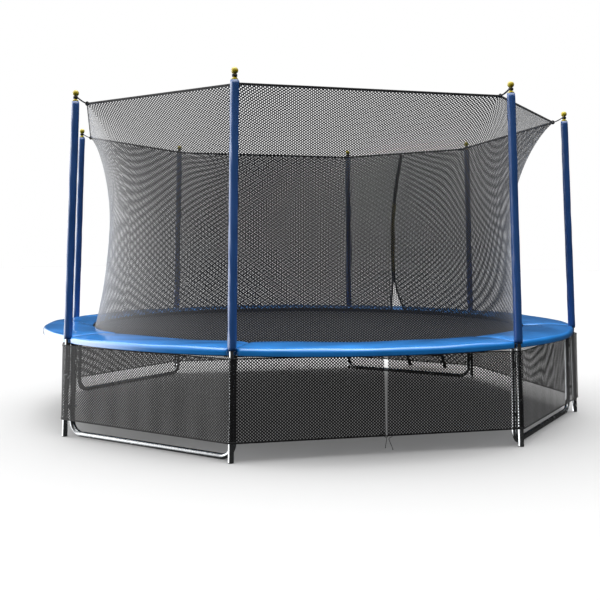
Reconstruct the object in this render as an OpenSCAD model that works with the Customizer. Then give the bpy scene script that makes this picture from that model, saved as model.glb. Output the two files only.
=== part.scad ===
// Round garden trampoline with a safety net on the inside of its springs.
// The origin is on the ground, at the middle of the ring. +Z is up.
// Leg 1 faces -Y, leg 2 faces +X, leg 3 faces +Y (with the door and the ladder) and leg 4 faces -X.

/* [Frame] */
// Radius of the circle on which the eight poles stand
pole_circle_r = 2320; // [2250:10:2400]
// Half of the angle between the two poles of one leg
leg_half_angle = 19; // [18:0.5:20]
// Radius of the ring, to the middle of its tube
ring_r = 2264; // [2250:1:2266]
// Height of the middle of the ring tube
ring_z = 686; // [680:1:688]
// Outer diameter of the ring, leg and pole tubes
tube_d = 38; // [36:1:40]
// Wall of the ring, leg and pole tubes
tube_wall = 1.5; // [1.2:0.1:2]
// Radius of the two bends of a leg, to the middle of the tube
leg_bend_r = 100; // [80:5:120]
// Outer diameter of the sockets that join the ring and the legs
socket_d = 44; // [43:0.5:44]

/* [Poles] */
// How far a pole leans inwards for each millimetre of height
pole_lean = 0.015; // [0:0.001:0.016]
// Height of the joint between a lower and an upper pole
pole_joint_z = 1250; // [1100:10:1400]
// Height of the top of the upper pole
pole_top_z = 2486; // [2400:2:2600]
// Outer diameter of the foam sleeve
sleeve_d = 60; // [54:1:60]
// Height of the lower end of the foam sleeve
sleeve_bottom_z = 707; // [700:1:740]
// Diameter of the ball on a pole cap
ball_d = 48; // [40:1:56]
// Heights of the two bolts that hold a pole to its leg
clamp_z = [210, 560]; // [200:10:600]

/* [Mat and springs] */
// Radius of the jumping mat, inside its sewn binding
mat_r = 1926; // [1920:1:1930]
// Thickness of the mat
mat_t = 2; // [1:0.5:2]
// Number of springs on the short part of the ring, over a leg
springs_over_leg = 10; // [8:1:12]
// Number of springs on the long part of the ring, between two legs
springs_between_legs = 14; // [12:1:16]
// Outer diameter of a spring's coil
spring_d = 20; // [16:1:24]

/* [Pad] */
// Radius of the inner edge of the pad
pad_inner_r = 1905; // [1900:1:1920]
// Radius of the outer edge of the pad
pad_outer_r = 2316; // [2312:1:2320]
// Height of the top of the pad
pad_top_z = 737; // [730:1:750]
// Thickness of the pad's foam
pad_foam_t = 22; // [16:1:22]
// Height of the flap around the pad's outer edge
pad_flap_h = 62; // [45:1:64]

/* [Safety net] */
// Radius of the foot of the net
net_foot_r = 1893; // [1880:1:1895]
// Radius of the waist of the net
net_waist_r = 1805; // [1780:5:1850]
// Height of the waist of the net
net_waist_z = 1530; // [1300:10:1700]
// Radius of the eight upper corners of the net
net_corner_r = 2188; // [2150:1:2195]
// Height of the upper edge of the net
net_top_z = 2472; // [2400:2:2476]
// Thickness of the net
net_t = 3; // [2:0.5:4]
// Height of the webbing hem along the upper edge
hem_h = 14; // [10:1:16]
// Thickness of the webbing hem
hem_t = 5; // [3:1:6]

/* [Door] */
// Height of the point where the zip stands open
door_apex_z = 1060; // [900:10:1150]
// How far the door's left edge stands from the middle, at its foot
door_left = 53; // [20:1:80]
// How far the door's right edge stands from the middle, at its foot
door_right = 109; // [60:1:140]
// Width of each of the zip's two tapes
tape_w = 22; // [16:1:24]

/* [Skirt] */
// Height of the lower edge of the skirt
skirt_bottom_z = 123; // [100:1:150]
// Height of the upper edge of the skirt
skirt_top_z = 664; // [640:1:664]
// Distance from a pole's middle to the inside of the skirt
skirt_reach = 28; // [28:1:32]
// Thickness of the skirt
skirt_t = 2; // [1:0.5:3]
// Width of the slit at its upper end
slit_top_w = 28; // [20:1:40]
// Width of the slit at its lower end
slit_bottom_w = 10; // [6:1:20]

/* [Ladder] */
// Distance between the middles of the two rails
ladder_w = 446; // [400:2:460]
// Distance of the ladder's feet from the middle of the ring
ladder_foot_y = 2761; // [2700:1:2780]
// Width of a rail, seen from the side
rail_w = 38; // [30:1:40]
// Thickness of a rail, seen from the front
rail_t = 20; // [16:1:24]
// Number of treads
tread_count = 3; // [2:1:3]
// Depth of a tread
tread_depth = 90; // [80:1:110]

/* [Hidden] */

$fn = 64;
cut = 1;              // how far a cutting solid runs past a face
gap = 0.3;            // clearance between pieces that slide into each other
bore_d = tube_d - 2 * tube_wall;
steel = "silver";
blue = "royalblue";
yellow = "gold";
black = "dimgray";

// Angles run from -Y towards +X. Pole i and pole i + 1 stand on one leg when i is even.
function pole_angle(i) = 90 * floor(i / 2) + leg_half_angle * (i % 2 == 0 ? -1 : 1);
function span(i) = pole_angle(i + 1) - pole_angle(i);
function on_circle(r, a, z = 0) = [r * sin(a), -r * cos(a), z];
function pole_r(z) = pole_circle_r - pole_lean * z;
lean_angle = atan(pole_lean);

// Places its children where pole i stands, with -Y pointing outwards.
module at_pole(i) {
    rotate([0, 0, pole_angle(i)])
        translate([0, -pole_circle_r, 0])
            rotate([-lean_angle, 0, 0])
                children();
}

// Corner i of an octagon whose sides stand a distance out from a line between poles on radius r.
function side_corner(i, r, out) =
    let (a = pole_angle(i), b = 45 * i - 22.5, d = out / cos(22.5))
    [r * sin(a) + d * sin(b), -r * cos(a) - d * cos(b)];

// An upright band of thickness t along such an octagon, from height z.
module octagon_band(r, out, t, z, h) {
    translate([0, 0, z])
        linear_extrude(height = h)
            difference() {
                polygon([for (i = [0 : 7]) side_corner(i, r, out + t)]);
                polygon([for (i = [0 : 7]) side_corner(i, r, out)]);
            }
}

// A radial cylinder at angle a and height z, from radius r1 to radius r2.
module radial_rod(a, z, r1, r2, d) {
    rotate([0, 0, a])
        translate([0, -r1, z])
            rotate([90, 0, 0])
                cylinder(h = r2 - r1, d = d);
}

// An arc of round bar on the ring, from angle a to angle a + sweep.
module ring_arc(a, sweep, d, hole_d) {
    rotate([0, 0, a - 90])
        rotate_extrude(angle = sweep, $fn = 256)
            translate([ring_r, ring_z])
                difference() {
                    circle(d = d);
                    circle(d = hole_d);
                }
}

// ---- Ring and legs ----

rail_end = 0.03;      // degrees between the end of a rail and the middle of its socket
spring_hole_d = 8;
function spring_count(i) = i % 2 == 0 ? springs_over_leg : springs_between_legs;
function spring_angle(i, j) = pole_angle(i) + (j + 0.5) * span(i) / spring_count(i);

module top_rail(i) {
    color(steel)
        difference() {
            ring_arc(pole_angle(i) + rail_end, span(i) - 2 * rail_end, tube_d, bore_d);
            for (j = [0 : spring_count(i) - 1])
                radial_rod(spring_angle(i, j), ring_z, ring_r - tube_d / 2 - cut, ring_r, spring_hole_d);
        }
}

socket_half_sweep = 1.7;
socket_drop = 92;     // how far the upright socket reaches below the ring
upright_socket_d = 42.6;
module ring_bar(a, sweep, d) {
    rotate([0, 0, a - 90])
        rotate_extrude(angle = sweep, $fn = 256)
            translate([ring_r, ring_z])
                circle(d = d);
}

module t_socket(i) {
    a = pole_angle(i);
    difference() {
        union() {
            ring_bar(a - socket_half_sweep, 2 * socket_half_sweep, socket_d);
            translate(on_circle(ring_r, a, ring_z - socket_drop))
                cylinder(h = socket_drop - 2, d = upright_socket_d);
        }
        ring_bar(a - socket_half_sweep - 1, 2 * socket_half_sweep + 2, tube_d + 2 * gap);
        translate(on_circle(ring_r, a, ring_z - socket_drop - cut))
            cylinder(h = socket_drop - tube_d / 2, d = tube_d + 2 * gap);
    }
}

module t_sockets() {
    color(steel)
        for (i = [0 : 7])
            t_socket(i);
}

// The line of a leg: a bar on the ground, two bends and two uprights.
leg_half_w = ring_r * sin(leg_half_angle);
leg_y = ring_r * cos(leg_half_angle);
leg_top_z = ring_z - tube_d / 2 - 5;
module leg_line(d, extra) {
    translate([0, -leg_y, tube_d / 2]) {
        translate([leg_bend_r - leg_half_w, 0, 0])
            rotate([0, 90, 0])
                cylinder(h = 2 * (leg_half_w - leg_bend_r), d = d);
        for (side = [-1, 1])
            translate([side * leg_half_w, 0, leg_bend_r])
                cylinder(h = leg_top_z - tube_d / 2 - leg_bend_r + extra, d = d);
        translate([leg_half_w - leg_bend_r, 0, leg_bend_r])
            rotate([90, 0, 0])
                rotate([0, 0, -90])
                    rotate_extrude(angle = 90)
                        translate([leg_bend_r, 0])
                            circle(d = d);
        translate([leg_bend_r - leg_half_w, 0, leg_bend_r])
            rotate([90, 0, 0])
                rotate([0, 0, 180])
                    rotate_extrude(angle = 90)
                        translate([leg_bend_r, 0])
                            circle(d = d);
    }
}

clamp_hole_d = 9;
module leg(k) {
    color(steel)
        difference() {
            rotate([0, 0, 90 * k])
                leg_line(tube_d, 0);
            rotate([0, 0, 90 * k])
                leg_line(bore_d, cut);
            for (i = [2 * k, 2 * k + 1], z = clamp_z)
                radial_rod(pole_angle(i), z, ring_r - tube_d, ring_r + tube_d, clamp_hole_d);
        }
}

// ---- Poles ----

foot_t = 3;
module lower_pole(i) {
    difference() {
        at_pole(i)
            translate([0, 0, foot_t + 1])
                difference() {
                    cylinder(h = pole_joint_z - foot_t - 1.5, d = tube_d);
                    translate([0, 0, -cut])
                        cylinder(h = pole_joint_z, d = bore_d);
                }
        for (z = clamp_z)
            radial_rod(pole_angle(i), z, pole_r(z) - tube_d, pole_r(z) + tube_d, clamp_hole_d);
    }
}

module lower_poles() {
    color(steel)
        for (i = [0 : 7])
            lower_pole(i);
}

// The lower end of an upper pole is drawn in, so that it slides into the lower pole.
spigot_l = 80;
module upper_pole(i) {
    spigot_r = bore_d / 2 - gap;
    at_pole(i)
        translate([0, 0, pole_joint_z])
            rotate_extrude()
                polygon([
                    [spigot_r - tube_wall, -spigot_l], [spigot_r, -spigot_l], [spigot_r, 0], [tube_d / 2, 0],
                    [tube_d / 2, pole_top_z - pole_joint_z], [bore_d / 2, pole_top_z - pole_joint_z],
                    [bore_d / 2, 6], [spigot_r - tube_wall, 0]
                ]);
}

module upper_poles() {
    color(steel)
        for (i = [0 : 7])
            upper_pole(i);
}

module foam_sleeve(i) {
    color(blue)
        at_pole(i)
            translate([0, 0, sleeve_bottom_z])
                difference() {
                    cylinder(h = pole_top_z - 2 - sleeve_bottom_z, d = sleeve_d);
                    translate([0, 0, -cut])
                        cylinder(h = pole_top_z, d = tube_d + 1);
                }
}

// A cap has a plug, a flange, a neck and a ball, turned in one piece.
plug_d = bore_d - 2 * gap;
plug_l = 40;
flange_d = 46;
neck_d = 22;
neck_z = 16;
neck_l = 26;
ball_z = neck_z + neck_l + ball_d / 2 - 4;
module pole_cap(i) {
    at_pole(i)
        translate([0, 0, pole_top_z + 0.1]) {
            rotate_extrude()
                polygon([
                    [0, -plug_l], [plug_d / 2, -plug_l], [plug_d / 2, 0], [flange_d / 2, 0],
                    [flange_d / 2, 6], [neck_d / 2, neck_z], [neck_d / 2, neck_z + neck_l], [0, neck_z + neck_l]
                ]);
            translate([0, 0, ball_z])
                sphere(d = ball_d);
        }
}

module pole_caps() {
    color(yellow)
        for (i = [0 : 7])
            pole_cap(i);
}

// Saddle washers between a pole and its leg.
spacer_d = 30;
module pole_spacers() {
    color(black)
        for (i = [0 : 7], z = clamp_z)
            difference() {
                radial_rod(pole_angle(i), z, ring_r, pole_r(z), spacer_d);
                radial_rod(pole_angle(i), z, ring_r - cut, pole_r(z) + cut, clamp_hole_d);
                translate(on_circle(ring_r, pole_angle(i), z - spacer_d))
                    cylinder(h = 2 * spacer_d, d = tube_d + 2 * gap);
                at_pole(i)
                    translate([0, 0, z - spacer_d])
                        cylinder(h = 2 * spacer_d, d = tube_d + 2 * gap);
            }
}

bolt_d = 8;
bolt_head_d = 17;
bolt_head_h = 5;
nut_d = 15;
nut_h = 7;
module clamp_bolts() {
    color(steel)
        for (i = [0 : 7], z = clamp_z) {
            a = pole_angle(i);
            outside = pole_r(z) + tube_d / 2 + 0.5;
            inside = ring_r - tube_d / 2 - 0.5;
            radial_rod(a, z, inside - nut_h - 3, outside, bolt_d);
            radial_rod(a, z, outside, outside + bolt_head_h, bolt_head_d);
            rotate([0, 0, a])
                translate([0, -inside, z])
                    rotate([-90, 0, 0])
                        cylinder(h = nut_h, d = nut_d, $fn = 6);
        }
}

module pole_feet() {
    color(black)
        for (i = [0 : 7])
            at_pole(i)
                translate([0, 0, 0.5]) {
                    cylinder(h = foot_t, d = tube_d);
                    cylinder(h = 25, d = bore_d - 2 * gap);
                }
}

// ---- Pad ----

pad_seam = 0.05;      // degrees from a pad's end to the middle of its pole
flap_t = 5;
pole_notch_r = 34;
module pad(i) {
    underside = pad_top_z - pad_foam_t;
    color(blue)
        difference() {
            rotate([0, 0, pole_angle(i) + pad_seam - 90])
                rotate_extrude(angle = span(i) - 2 * pad_seam, $fn = 256)
                    polygon([
                        [pad_inner_r, underside], [pad_outer_r - flap_t, underside],
                        [pad_outer_r - flap_t, pad_top_z - pad_flap_h], [pad_outer_r, pad_top_z - pad_flap_h],
                        [pad_outer_r, pad_top_z], [pad_inner_r, pad_top_z]
                    ]);
            for (p = [i, i + 1])
                translate(on_circle(pole_r(pad_top_z), pole_angle(p), pad_top_z - 2 * pad_flap_h))
                    cylinder(h = 3 * pad_flap_h, r = pole_notch_r);
        }
}

// ---- Mat, rings and springs ----

mat_top_z = ring_z;
binding_w = 40;
v_ring_r = 17;
v_ring_wire = 4;
v_ring_at = mat_r + binding_w + v_ring_r;

module jumping_mat() {
    color(black)
        translate([0, 0, mat_top_z - mat_t])
            cylinder(h = mat_t, r = mat_r, $fn = 256);
}

module mat_binding() {
    color(black)
        translate([0, 0, mat_top_z - mat_t])
            difference() {
                cylinder(h = mat_t, r = mat_r + binding_w, $fn = 256);
                translate([0, 0, -cut])
                    cylinder(h = mat_t + 2 * cut, r = mat_r + gap, $fn = 256);
            }
}

module v_rings() {
    color(steel)
        for (i = [0 : 7], j = [0 : spring_count(i) - 1])
            translate(on_circle(v_ring_at, spring_angle(i, j), ring_z))
                rotate_extrude($fn = 32)
                    translate([v_ring_r, 0])
                        circle(d = v_ring_wire, $fn = 16);
}

hook_wire = 4;
coil_wall = 2;
coil_start = 2040;
coil_end = 2205;
module springs() {
    hook_start = v_ring_at + v_ring_r + v_ring_wire;
    color(steel)
        for (i = [0 : 7], j = [0 : spring_count(i) - 1]) {
            a = spring_angle(i, j);
            difference() {
                radial_rod(a, ring_z, coil_start, coil_end, spring_d);
                radial_rod(a, ring_z, coil_start + coil_wall, coil_end - coil_wall, spring_d - 2 * coil_wall);
            }
            radial_rod(a, ring_z, hook_start, coil_start, hook_wire);
            radial_rod(a, ring_z, coil_end, ring_r - 6, hook_wire);
        }
}

// ---- Safety net ----

// The net's upper edge runs straight from corner to corner, and its foot is a circle.
function side_middle(a) = 45 * round(a / 45);
function side_half(a) = round(a / 45) % 2 == 0 ? leg_half_angle : 45 - leg_half_angle;
function net_top_r(a) = net_corner_r * cos(side_half(a)) / cos(a - side_middle(a));
function net_r(a, z) = z < net_waist_z
    ? net_waist_r + (net_foot_r - net_waist_r) * pow((net_waist_z - z) / (net_waist_z - net_foot_z), 2)
    : net_waist_r + (net_top_r(a) - net_waist_r) * pow((z - net_waist_z) / (net_top_z - net_waist_z), 2);

net_foot_z = mat_top_z + 6;
net_rows = 10;
leg_columns = 4;
between_columns = 6;
net_heights = [for (k = [0 : net_rows]) net_foot_z + k * (net_top_z - net_foot_z) / net_rows];
net_seam = 0.01;      // degrees from a panel's end to its pole

module net_wall(i) {
    n = i % 2 == 0 ? leg_columns : between_columns;
    angles = [for (j = [0 : n]) pole_angle(i) + net_seam + j * (span(i) - 2 * net_seam) / n];
    points = [for (t = [0, net_t], z = net_heights, a = angles) on_circle(net_r(a, z) - t, a, z)];
    rows = len(net_heights);
    top = rows - 1;
    function id(t, k, j) = (t * rows + k) * (n + 1) + j;
    outer = [for (k = [0 : rows - 2], j = [0 : n - 1]) each [
        [id(0, k, j), id(0, k + 1, j + 1), id(0, k, j + 1)],
        [id(0, k, j), id(0, k + 1, j), id(0, k + 1, j + 1)]]];
    inner = [for (k = [0 : rows - 2], j = [0 : n - 1]) each [
        [id(1, k, j), id(1, k, j + 1), id(1, k + 1, j + 1)],
        [id(1, k, j), id(1, k + 1, j + 1), id(1, k + 1, j)]]];
    rims = [for (j = [0 : n - 1]) each [
        [id(0, 0, j), id(0, 0, j + 1), id(1, 0, j + 1)],
        [id(0, 0, j), id(1, 0, j + 1), id(1, 0, j)],
        [id(0, top, j), id(1, top, j + 1), id(0, top, j + 1)],
        [id(0, top, j), id(1, top, j), id(1, top, j + 1)]]];
    ends = [for (k = [0 : rows - 2]) each [
        [id(0, k, 0), id(1, k, 0), id(1, k + 1, 0)],
        [id(0, k, 0), id(1, k + 1, 0), id(0, k + 1, 0)],
        [id(0, k, n), id(0, k + 1, n), id(1, k + 1, n)],
        [id(0, k, n), id(1, k + 1, n), id(1, k, n)]]];
    polyhedron(points, concat(outer, inner, rims, ends));
}

// The door is the gap that the half-open zip leaves, narrowing upwards.
function door_x(side, z) = z > door_apex_z ? 0
    : (side < 0 ? door_left : door_right) * side * (door_apex_z - z) / (door_apex_z - net_foot_z);

module net_panel(i) {
    color(black)
        difference() {
            net_wall(i);
            translate([0, net_foot_r + cut, 0])
                rotate([90, 0, 0])
                    linear_extrude(height = net_foot_r / 4)
                        polygon([
                            [door_x(-1, net_foot_z - 10), net_foot_z - 10],
                            [door_x(1, net_foot_z - 10), net_foot_z - 10],
                            [0, door_apex_z]
                        ]);
        }
}

// The hem is a band of webbing that runs straight along each side of the net's upper edge.
hem_top_z = net_top_z + 0.5 + hem_h;
module net_top_hem() {
    color(black)
        octagon_band(net_corner_r, 0, hem_t, hem_top_z - hem_h, hem_h);
}

// A strap loops round the neck of each cap and runs down to the net's corner.
strap_d = 6;
loop_w = 6;
module cap_straps() {
    loop_z = pole_top_z + neck_z + neck_l / 2;
    strap_from = net_corner_r + hem_t + 3;
    strap_from_z = hem_top_z - hem_h / 2;
    run = pole_r(loop_z) - neck_d / 2 - loop_w - strap_from;
    rise = loop_z - strap_from_z;
    color(black)
        for (i = [0 : 7]) {
            at_pole(i)
                translate([0, 0, loop_z])
                    rotate_extrude()
                        translate([neck_d / 2 + 1, -5])
                            square([loop_w, 10]);
            rotate([0, 0, pole_angle(i)])
                translate([0, -strap_from, strap_from_z])
                    rotate([atan2(run, rise), 0, 0])
                        cylinder(h = norm([run, rise]), d = strap_d);
        }
}

// Each tape follows the outside of the net, and below the apex the edge of the door.
tape_t = 2;
tape_off = 0.6;
tape_heights = concat(
    [net_foot_z, 780, 880, 980, door_apex_z],
    [for (z = net_heights) if (z > door_apex_z + 20) z]);

module zip_tape(side) {
    half_gap = 1;
    n = len(tape_heights);
    points = [for (z = tape_heights)
        let (x1 = door_x(side, z) + side * half_gap,
             x2 = x1 + side * tape_w,
             y = net_r(180, z) + tape_off)
        each [[x1, y, z], [x2, y, z], [x2, y + tape_t, z], [x1, y + tape_t, z]]];
    sides = [for (k = [0 : n - 2], j = [0 : 3]) each [
        [4 * k + j, 4 * k + (j + 1) % 4, 4 * k + 4 + (j + 1) % 4],
        [4 * k + j, 4 * k + 4 + (j + 1) % 4, 4 * k + 4 + j]]];
    last = 4 * n - 4;
    ends = [[0, 3, 2], [0, 2, 1], [last, last + 1, last + 2], [last, last + 2, last + 3]];
    faces = concat(sides, ends);
    polyhedron(points, side < 0 ? faces : [for (f = faces) [f[2], f[1], f[0]]]);
}

module zip_tapes() {
    color(yellow) {
        zip_tape(-1);
        zip_tape(1);
    }
}

slider_w = 16;
slider_h = 24;
slider_t = 7;
module zip_slider() {
    y = net_r(180, door_apex_z) + tape_off + tape_t + 1;
    color(black)
        translate([0, y, door_apex_z + 4]) {
            translate([-slider_w / 2, 0, 0])
                cube([slider_w, slider_t, slider_h]);
            translate([-4, slider_t, -34])
                cube([8, 3, 50]);
        }
}

// ---- Skirt ----

slit_at = 22;         // how far the slit stands from the middle of its side
slit_angle = 45;
slit_face = pole_circle_r * cos(45 - leg_half_angle) + skirt_reach + skirt_t;
module skirt() {
    color(black)
        difference() {
            octagon_band(pole_circle_r, skirt_reach, skirt_t, skirt_bottom_z, skirt_top_z - skirt_bottom_z);
            rotate([0, 0, slit_angle])
                translate([slit_at, -slit_face + 20, 0])
                    rotate([90, 0, 0])
                        linear_extrude(height = 40)
                            polygon([
                                [-slit_bottom_w / 2, skirt_bottom_z - cut], [slit_bottom_w / 2, skirt_bottom_z - cut],
                                [slit_top_w / 2, skirt_top_z + cut], [-slit_top_w / 2, skirt_top_z + cut]
                            ]);
        }
}

// The drawcord is tied in a bow. Each route runs from the knot, round its loop and down its tail.
// X is along the skirt, Y is out from its face and Z is up from the ground.
knot_d = 12;
knot_z = 126;
cord_d = 4;
cord_sides = 8;
bow_left_route = [
    [-6, 9, 130], [-14, 10, 137], [-24, 11, 146], [-34, 12, 153], [-42, 13, 152], [-44, 15, 144],
    [-38, 17, 136], [-28, 19, 130], [-17, 20, 125], [-9, 20, 117], [-7, 18, 106], [-8, 15, 93],
    [-10, 13, 80], [-12, 12, 66], [-13, 12, 52]
];
bow_right_route = [
    [6, 9, 129], [14, 10, 133], [23, 11, 138], [31, 12, 139], [36, 13, 133], [34, 15, 126],
    [27, 17, 121], [18, 19, 119], [10, 20, 115], [10, 19, 105], [15, 17, 93], [21, 15, 80],
    [28, 13, 66], [34, 12, 52], [39, 12, 38]
];

module at_slit() {
    rotate([0, 0, slit_angle])
        translate([slit_at, -slit_face, 0])
            children();
}

module skirt_knot() {
    color(black)
        at_slit()
            translate([0, -knot_d / 2 - gap, knot_z])
                sphere(d = knot_d, $fn = 32);
}

function unit(v) = v / norm(v);
function direction(route, k) =
    unit(route[min(k + 1, len(route) - 1)] - route[max(k - 1, 0)]);
module cord(route) {
    n = len(route);
    points = [for (k = [0 : n - 1])
        let (d = direction(route, k),
             u = unit(cross(d, [0, 1, 0])),
             v = cross(d, u))
        for (j = [0 : cord_sides - 1])
            route[k] + cord_d / 2 * (u * cos(360 * j / cord_sides) + v * sin(360 * j / cord_sides))];
    sides = [for (k = [0 : n - 2], j = [0 : cord_sides - 1])
        let (a = k * cord_sides + j, b = k * cord_sides + (j + 1) % cord_sides)
        each [[a, b, b + cord_sides], [a, b + cord_sides, a + cord_sides]]];
    near_end = [for (j = [1 : cord_sides - 2]) [0, j + 1, j]];
    far = (n - 1) * cord_sides;
    far_end = [for (j = [1 : cord_sides - 2]) [far, far + j, far + j + 1]];
    mirror([0, 1, 0])
        polyhedron(points, concat(sides, near_end, far_end));
}

module bow_left() {
    color(black)
        at_slit()
            cord(bow_left_route);
}

module bow_right() {
    color(black)
        at_slit()
            cord(bow_right_route);
}

// ---- Ladder ----

// Hooks on the ring carry the ladder, and it turns about the ring's tube.
hinge_y = sqrt(pow(ring_r, 2) - pow(ladder_w / 2, 2));
rail_top = [2342, 632];
rail_angle = atan2(ladder_foot_y - rail_top[0], rail_top[1]);
rail_l = norm([ladder_foot_y - rail_top[0], rail_top[1]]);
rail_wall = 1.5;
hook_t = 5;
hook_hole_r = tube_d / 2 + 2;
hook_rim = 4;
tread_t = 24;
ladder_bolt_d = 8;
boot_h = 30;

// Places its children at the top of a rail, with -Z running down the rail.
module on_rail(side) {
    translate([side * ladder_w / 2, rail_top[0], rail_top[1]])
        rotate([rail_angle, 0, 0])
            children();
}

// Distance down the rail to the middle of tread k, counted from the lowest.
function tread_z(k) = rail_top[1] * (k + 1) / (tread_count + 1);
function tread_y(k) = rail_top[0] + (rail_top[1] - tread_z(k)) * tan(rail_angle);

module ladder_rail(side) {
    color(black) {
        difference() {
            on_rail(side)
                translate([-rail_t / 2, -rail_w / 2, -rail_l + boot_h])
                    difference() {
                        cube([rail_t, rail_w, rail_l - boot_h]);
                        translate([rail_wall, rail_wall, -cut])
                            cube([rail_t - 2 * rail_wall, rail_w - 2 * rail_wall, rail_l - boot_h - 2]);
                    }
            for (k = [0 : tread_count - 1])
                translate([side * ladder_w / 2 - rail_t, tread_y(k), tread_z(k)])
                    rotate([0, 90, 0])
                        cylinder(h = 2 * rail_t, d = ladder_bolt_d + 2 * gap);
        }
        translate([side * (ladder_w - rail_t + hook_t + 1) / 2, hinge_y, ring_z])
            rotate([90, 0, 90])
                translate([0, 0, -hook_t / 2])
                    linear_extrude(height = hook_t)
                        difference() {
                            union() {
                                circle(r = hook_hole_r + hook_rim);
                                polygon([
                                    [0, -20], [rail_top[0] - hinge_y + 8, rail_top[1] - ring_z + 14],
                                    [rail_top[0] - hinge_y - 12, rail_top[1] - ring_z - 20], [10, -32]
                                ]);
                            }
                            circle(r = hook_hole_r);
                            polygon([[-8, 0], [-60, -60], [-8, -60]]);
                        }
    }
}

module ladder_treads() {
    color(black)
        for (k = [0 : tread_count - 1])
            difference() {
                translate([-ladder_w / 2 + rail_t / 2 + gap, tread_y(k) - tread_depth / 2, tread_z(k) - tread_t / 2])
                    cube([ladder_w - rail_t - 2 * gap, tread_depth, tread_t]);
                for (side = [-1, 1])
                    translate([side * ladder_w / 2 - 40, tread_y(k), tread_z(k)])
                        rotate([0, 90, 0])
                            cylinder(h = 80, d = ladder_bolt_d + 2 * gap);
            }
}

module ladder_bolts() {
    color(steel)
        for (k = [0 : tread_count - 1], side = [-1, 1])
            translate([side * (ladder_w / 2 + rail_t / 2 + 0.5), tread_y(k), tread_z(k)])
                rotate([0, side * 90, 0]) {
                    cylinder(h = 5, d = 15);
                    translate([0, 0, -rail_t - 25])
                        cylinder(h = rail_t + 26, d = ladder_bolt_d);
                }
}

module ladder_feet() {
    color(black)
        for (side = [-1, 1])
            difference() {
                on_rail(side)
                    translate([-rail_t / 2 - 3, -rail_w / 2 - 3, -rail_l - 40])
                        difference() {
                            cube([rail_t + 6, rail_w + 6, 100]);
                            translate([3 - gap, 3 - gap, 40 + boot_h - gap])
                                cube([rail_t + 2 * gap, rail_w + 2 * gap, 100]);
                        }
                translate([side * ladder_w / 2, ladder_foot_y, -100])
                    cube([200, 400, 200], center = true);
            }
}

top_rail(0);  // top_rail_1
top_rail(1);  // top_rail_2
top_rail(2);  // top_rail_3
top_rail(3);  // top_rail_4
top_rail(4);  // top_rail_5
top_rail(5);  // top_rail_6
top_rail(6);  // top_rail_7
top_rail(7);  // top_rail_8
t_sockets();
leg(0);  // leg_1
leg(1);  // leg_2
leg(2);  // leg_3
leg(3);  // leg_4
lower_poles();
upper_poles();
foam_sleeve(0);  // foam_sleeve_1
foam_sleeve(1);  // foam_sleeve_2
foam_sleeve(2);  // foam_sleeve_3
foam_sleeve(3);  // foam_sleeve_4
foam_sleeve(4);  // foam_sleeve_5
foam_sleeve(5);  // foam_sleeve_6
foam_sleeve(6);  // foam_sleeve_7
foam_sleeve(7);  // foam_sleeve_8
pole_caps();
pole_spacers();
clamp_bolts();
pole_feet();
pad(0);  // pad_1
pad(1);  // pad_2
pad(2);  // pad_3
pad(3);  // pad_4
pad(4);  // pad_5
pad(5);  // pad_6
pad(6);  // pad_7
pad(7);  // pad_8
jumping_mat();
mat_binding();
v_rings();
springs();
net_panel(0);  // net_panel_1
net_panel(1);  // net_panel_2
net_panel(2);  // net_panel_3
net_panel(3);  // net_panel_4
net_panel(4);  // net_panel_5
net_panel(5);  // net_panel_6
net_panel(6);  // net_panel_7
net_panel(7);  // net_panel_8
net_top_hem();
cap_straps();
zip_tapes();
zip_slider();
skirt();
skirt_knot();
bow_left();
bow_right();
ladder_rail(-1);  // ladder_rail_left
ladder_rail(1);  // ladder_rail_right
ladder_treads();
ladder_bolts();
ladder_feet();
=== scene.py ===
"""Builds the round garden trampoline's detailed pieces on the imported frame, as a Blender add-on."""

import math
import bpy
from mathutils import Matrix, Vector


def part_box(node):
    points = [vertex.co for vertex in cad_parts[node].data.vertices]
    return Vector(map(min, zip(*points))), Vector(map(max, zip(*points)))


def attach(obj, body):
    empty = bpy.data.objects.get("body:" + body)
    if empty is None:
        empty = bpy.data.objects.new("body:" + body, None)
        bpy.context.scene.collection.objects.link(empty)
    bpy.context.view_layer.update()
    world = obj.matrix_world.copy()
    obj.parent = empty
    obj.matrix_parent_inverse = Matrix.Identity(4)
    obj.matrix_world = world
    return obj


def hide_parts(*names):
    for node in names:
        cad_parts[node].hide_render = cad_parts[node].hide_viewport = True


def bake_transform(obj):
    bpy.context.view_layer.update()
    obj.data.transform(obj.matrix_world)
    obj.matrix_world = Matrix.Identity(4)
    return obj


bl_info = {
    "name": "Garden Trampoline",
    "version": (1, 0, 0),
    "blender": (4, 5, 0),
    "location": "View3D > Sidebar > Trampoline",
    "description": "Builds a round trampoline with a safety net, a padded ring cover, a mesh skirt and a ladder",
    "category": "Object",
}

import bmesh
import bpy
import numpy as np
from bpy.props import FloatProperty, FloatVectorProperty, IntProperty, PointerProperty
from mathutils import Matrix, Vector

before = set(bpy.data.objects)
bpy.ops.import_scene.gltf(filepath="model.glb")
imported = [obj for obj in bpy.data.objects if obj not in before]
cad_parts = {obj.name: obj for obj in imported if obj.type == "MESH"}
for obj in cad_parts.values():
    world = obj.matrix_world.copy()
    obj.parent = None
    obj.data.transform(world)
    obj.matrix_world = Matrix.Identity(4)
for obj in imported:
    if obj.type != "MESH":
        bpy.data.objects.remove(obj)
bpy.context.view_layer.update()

# ---- Places read from the frame ----

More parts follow.
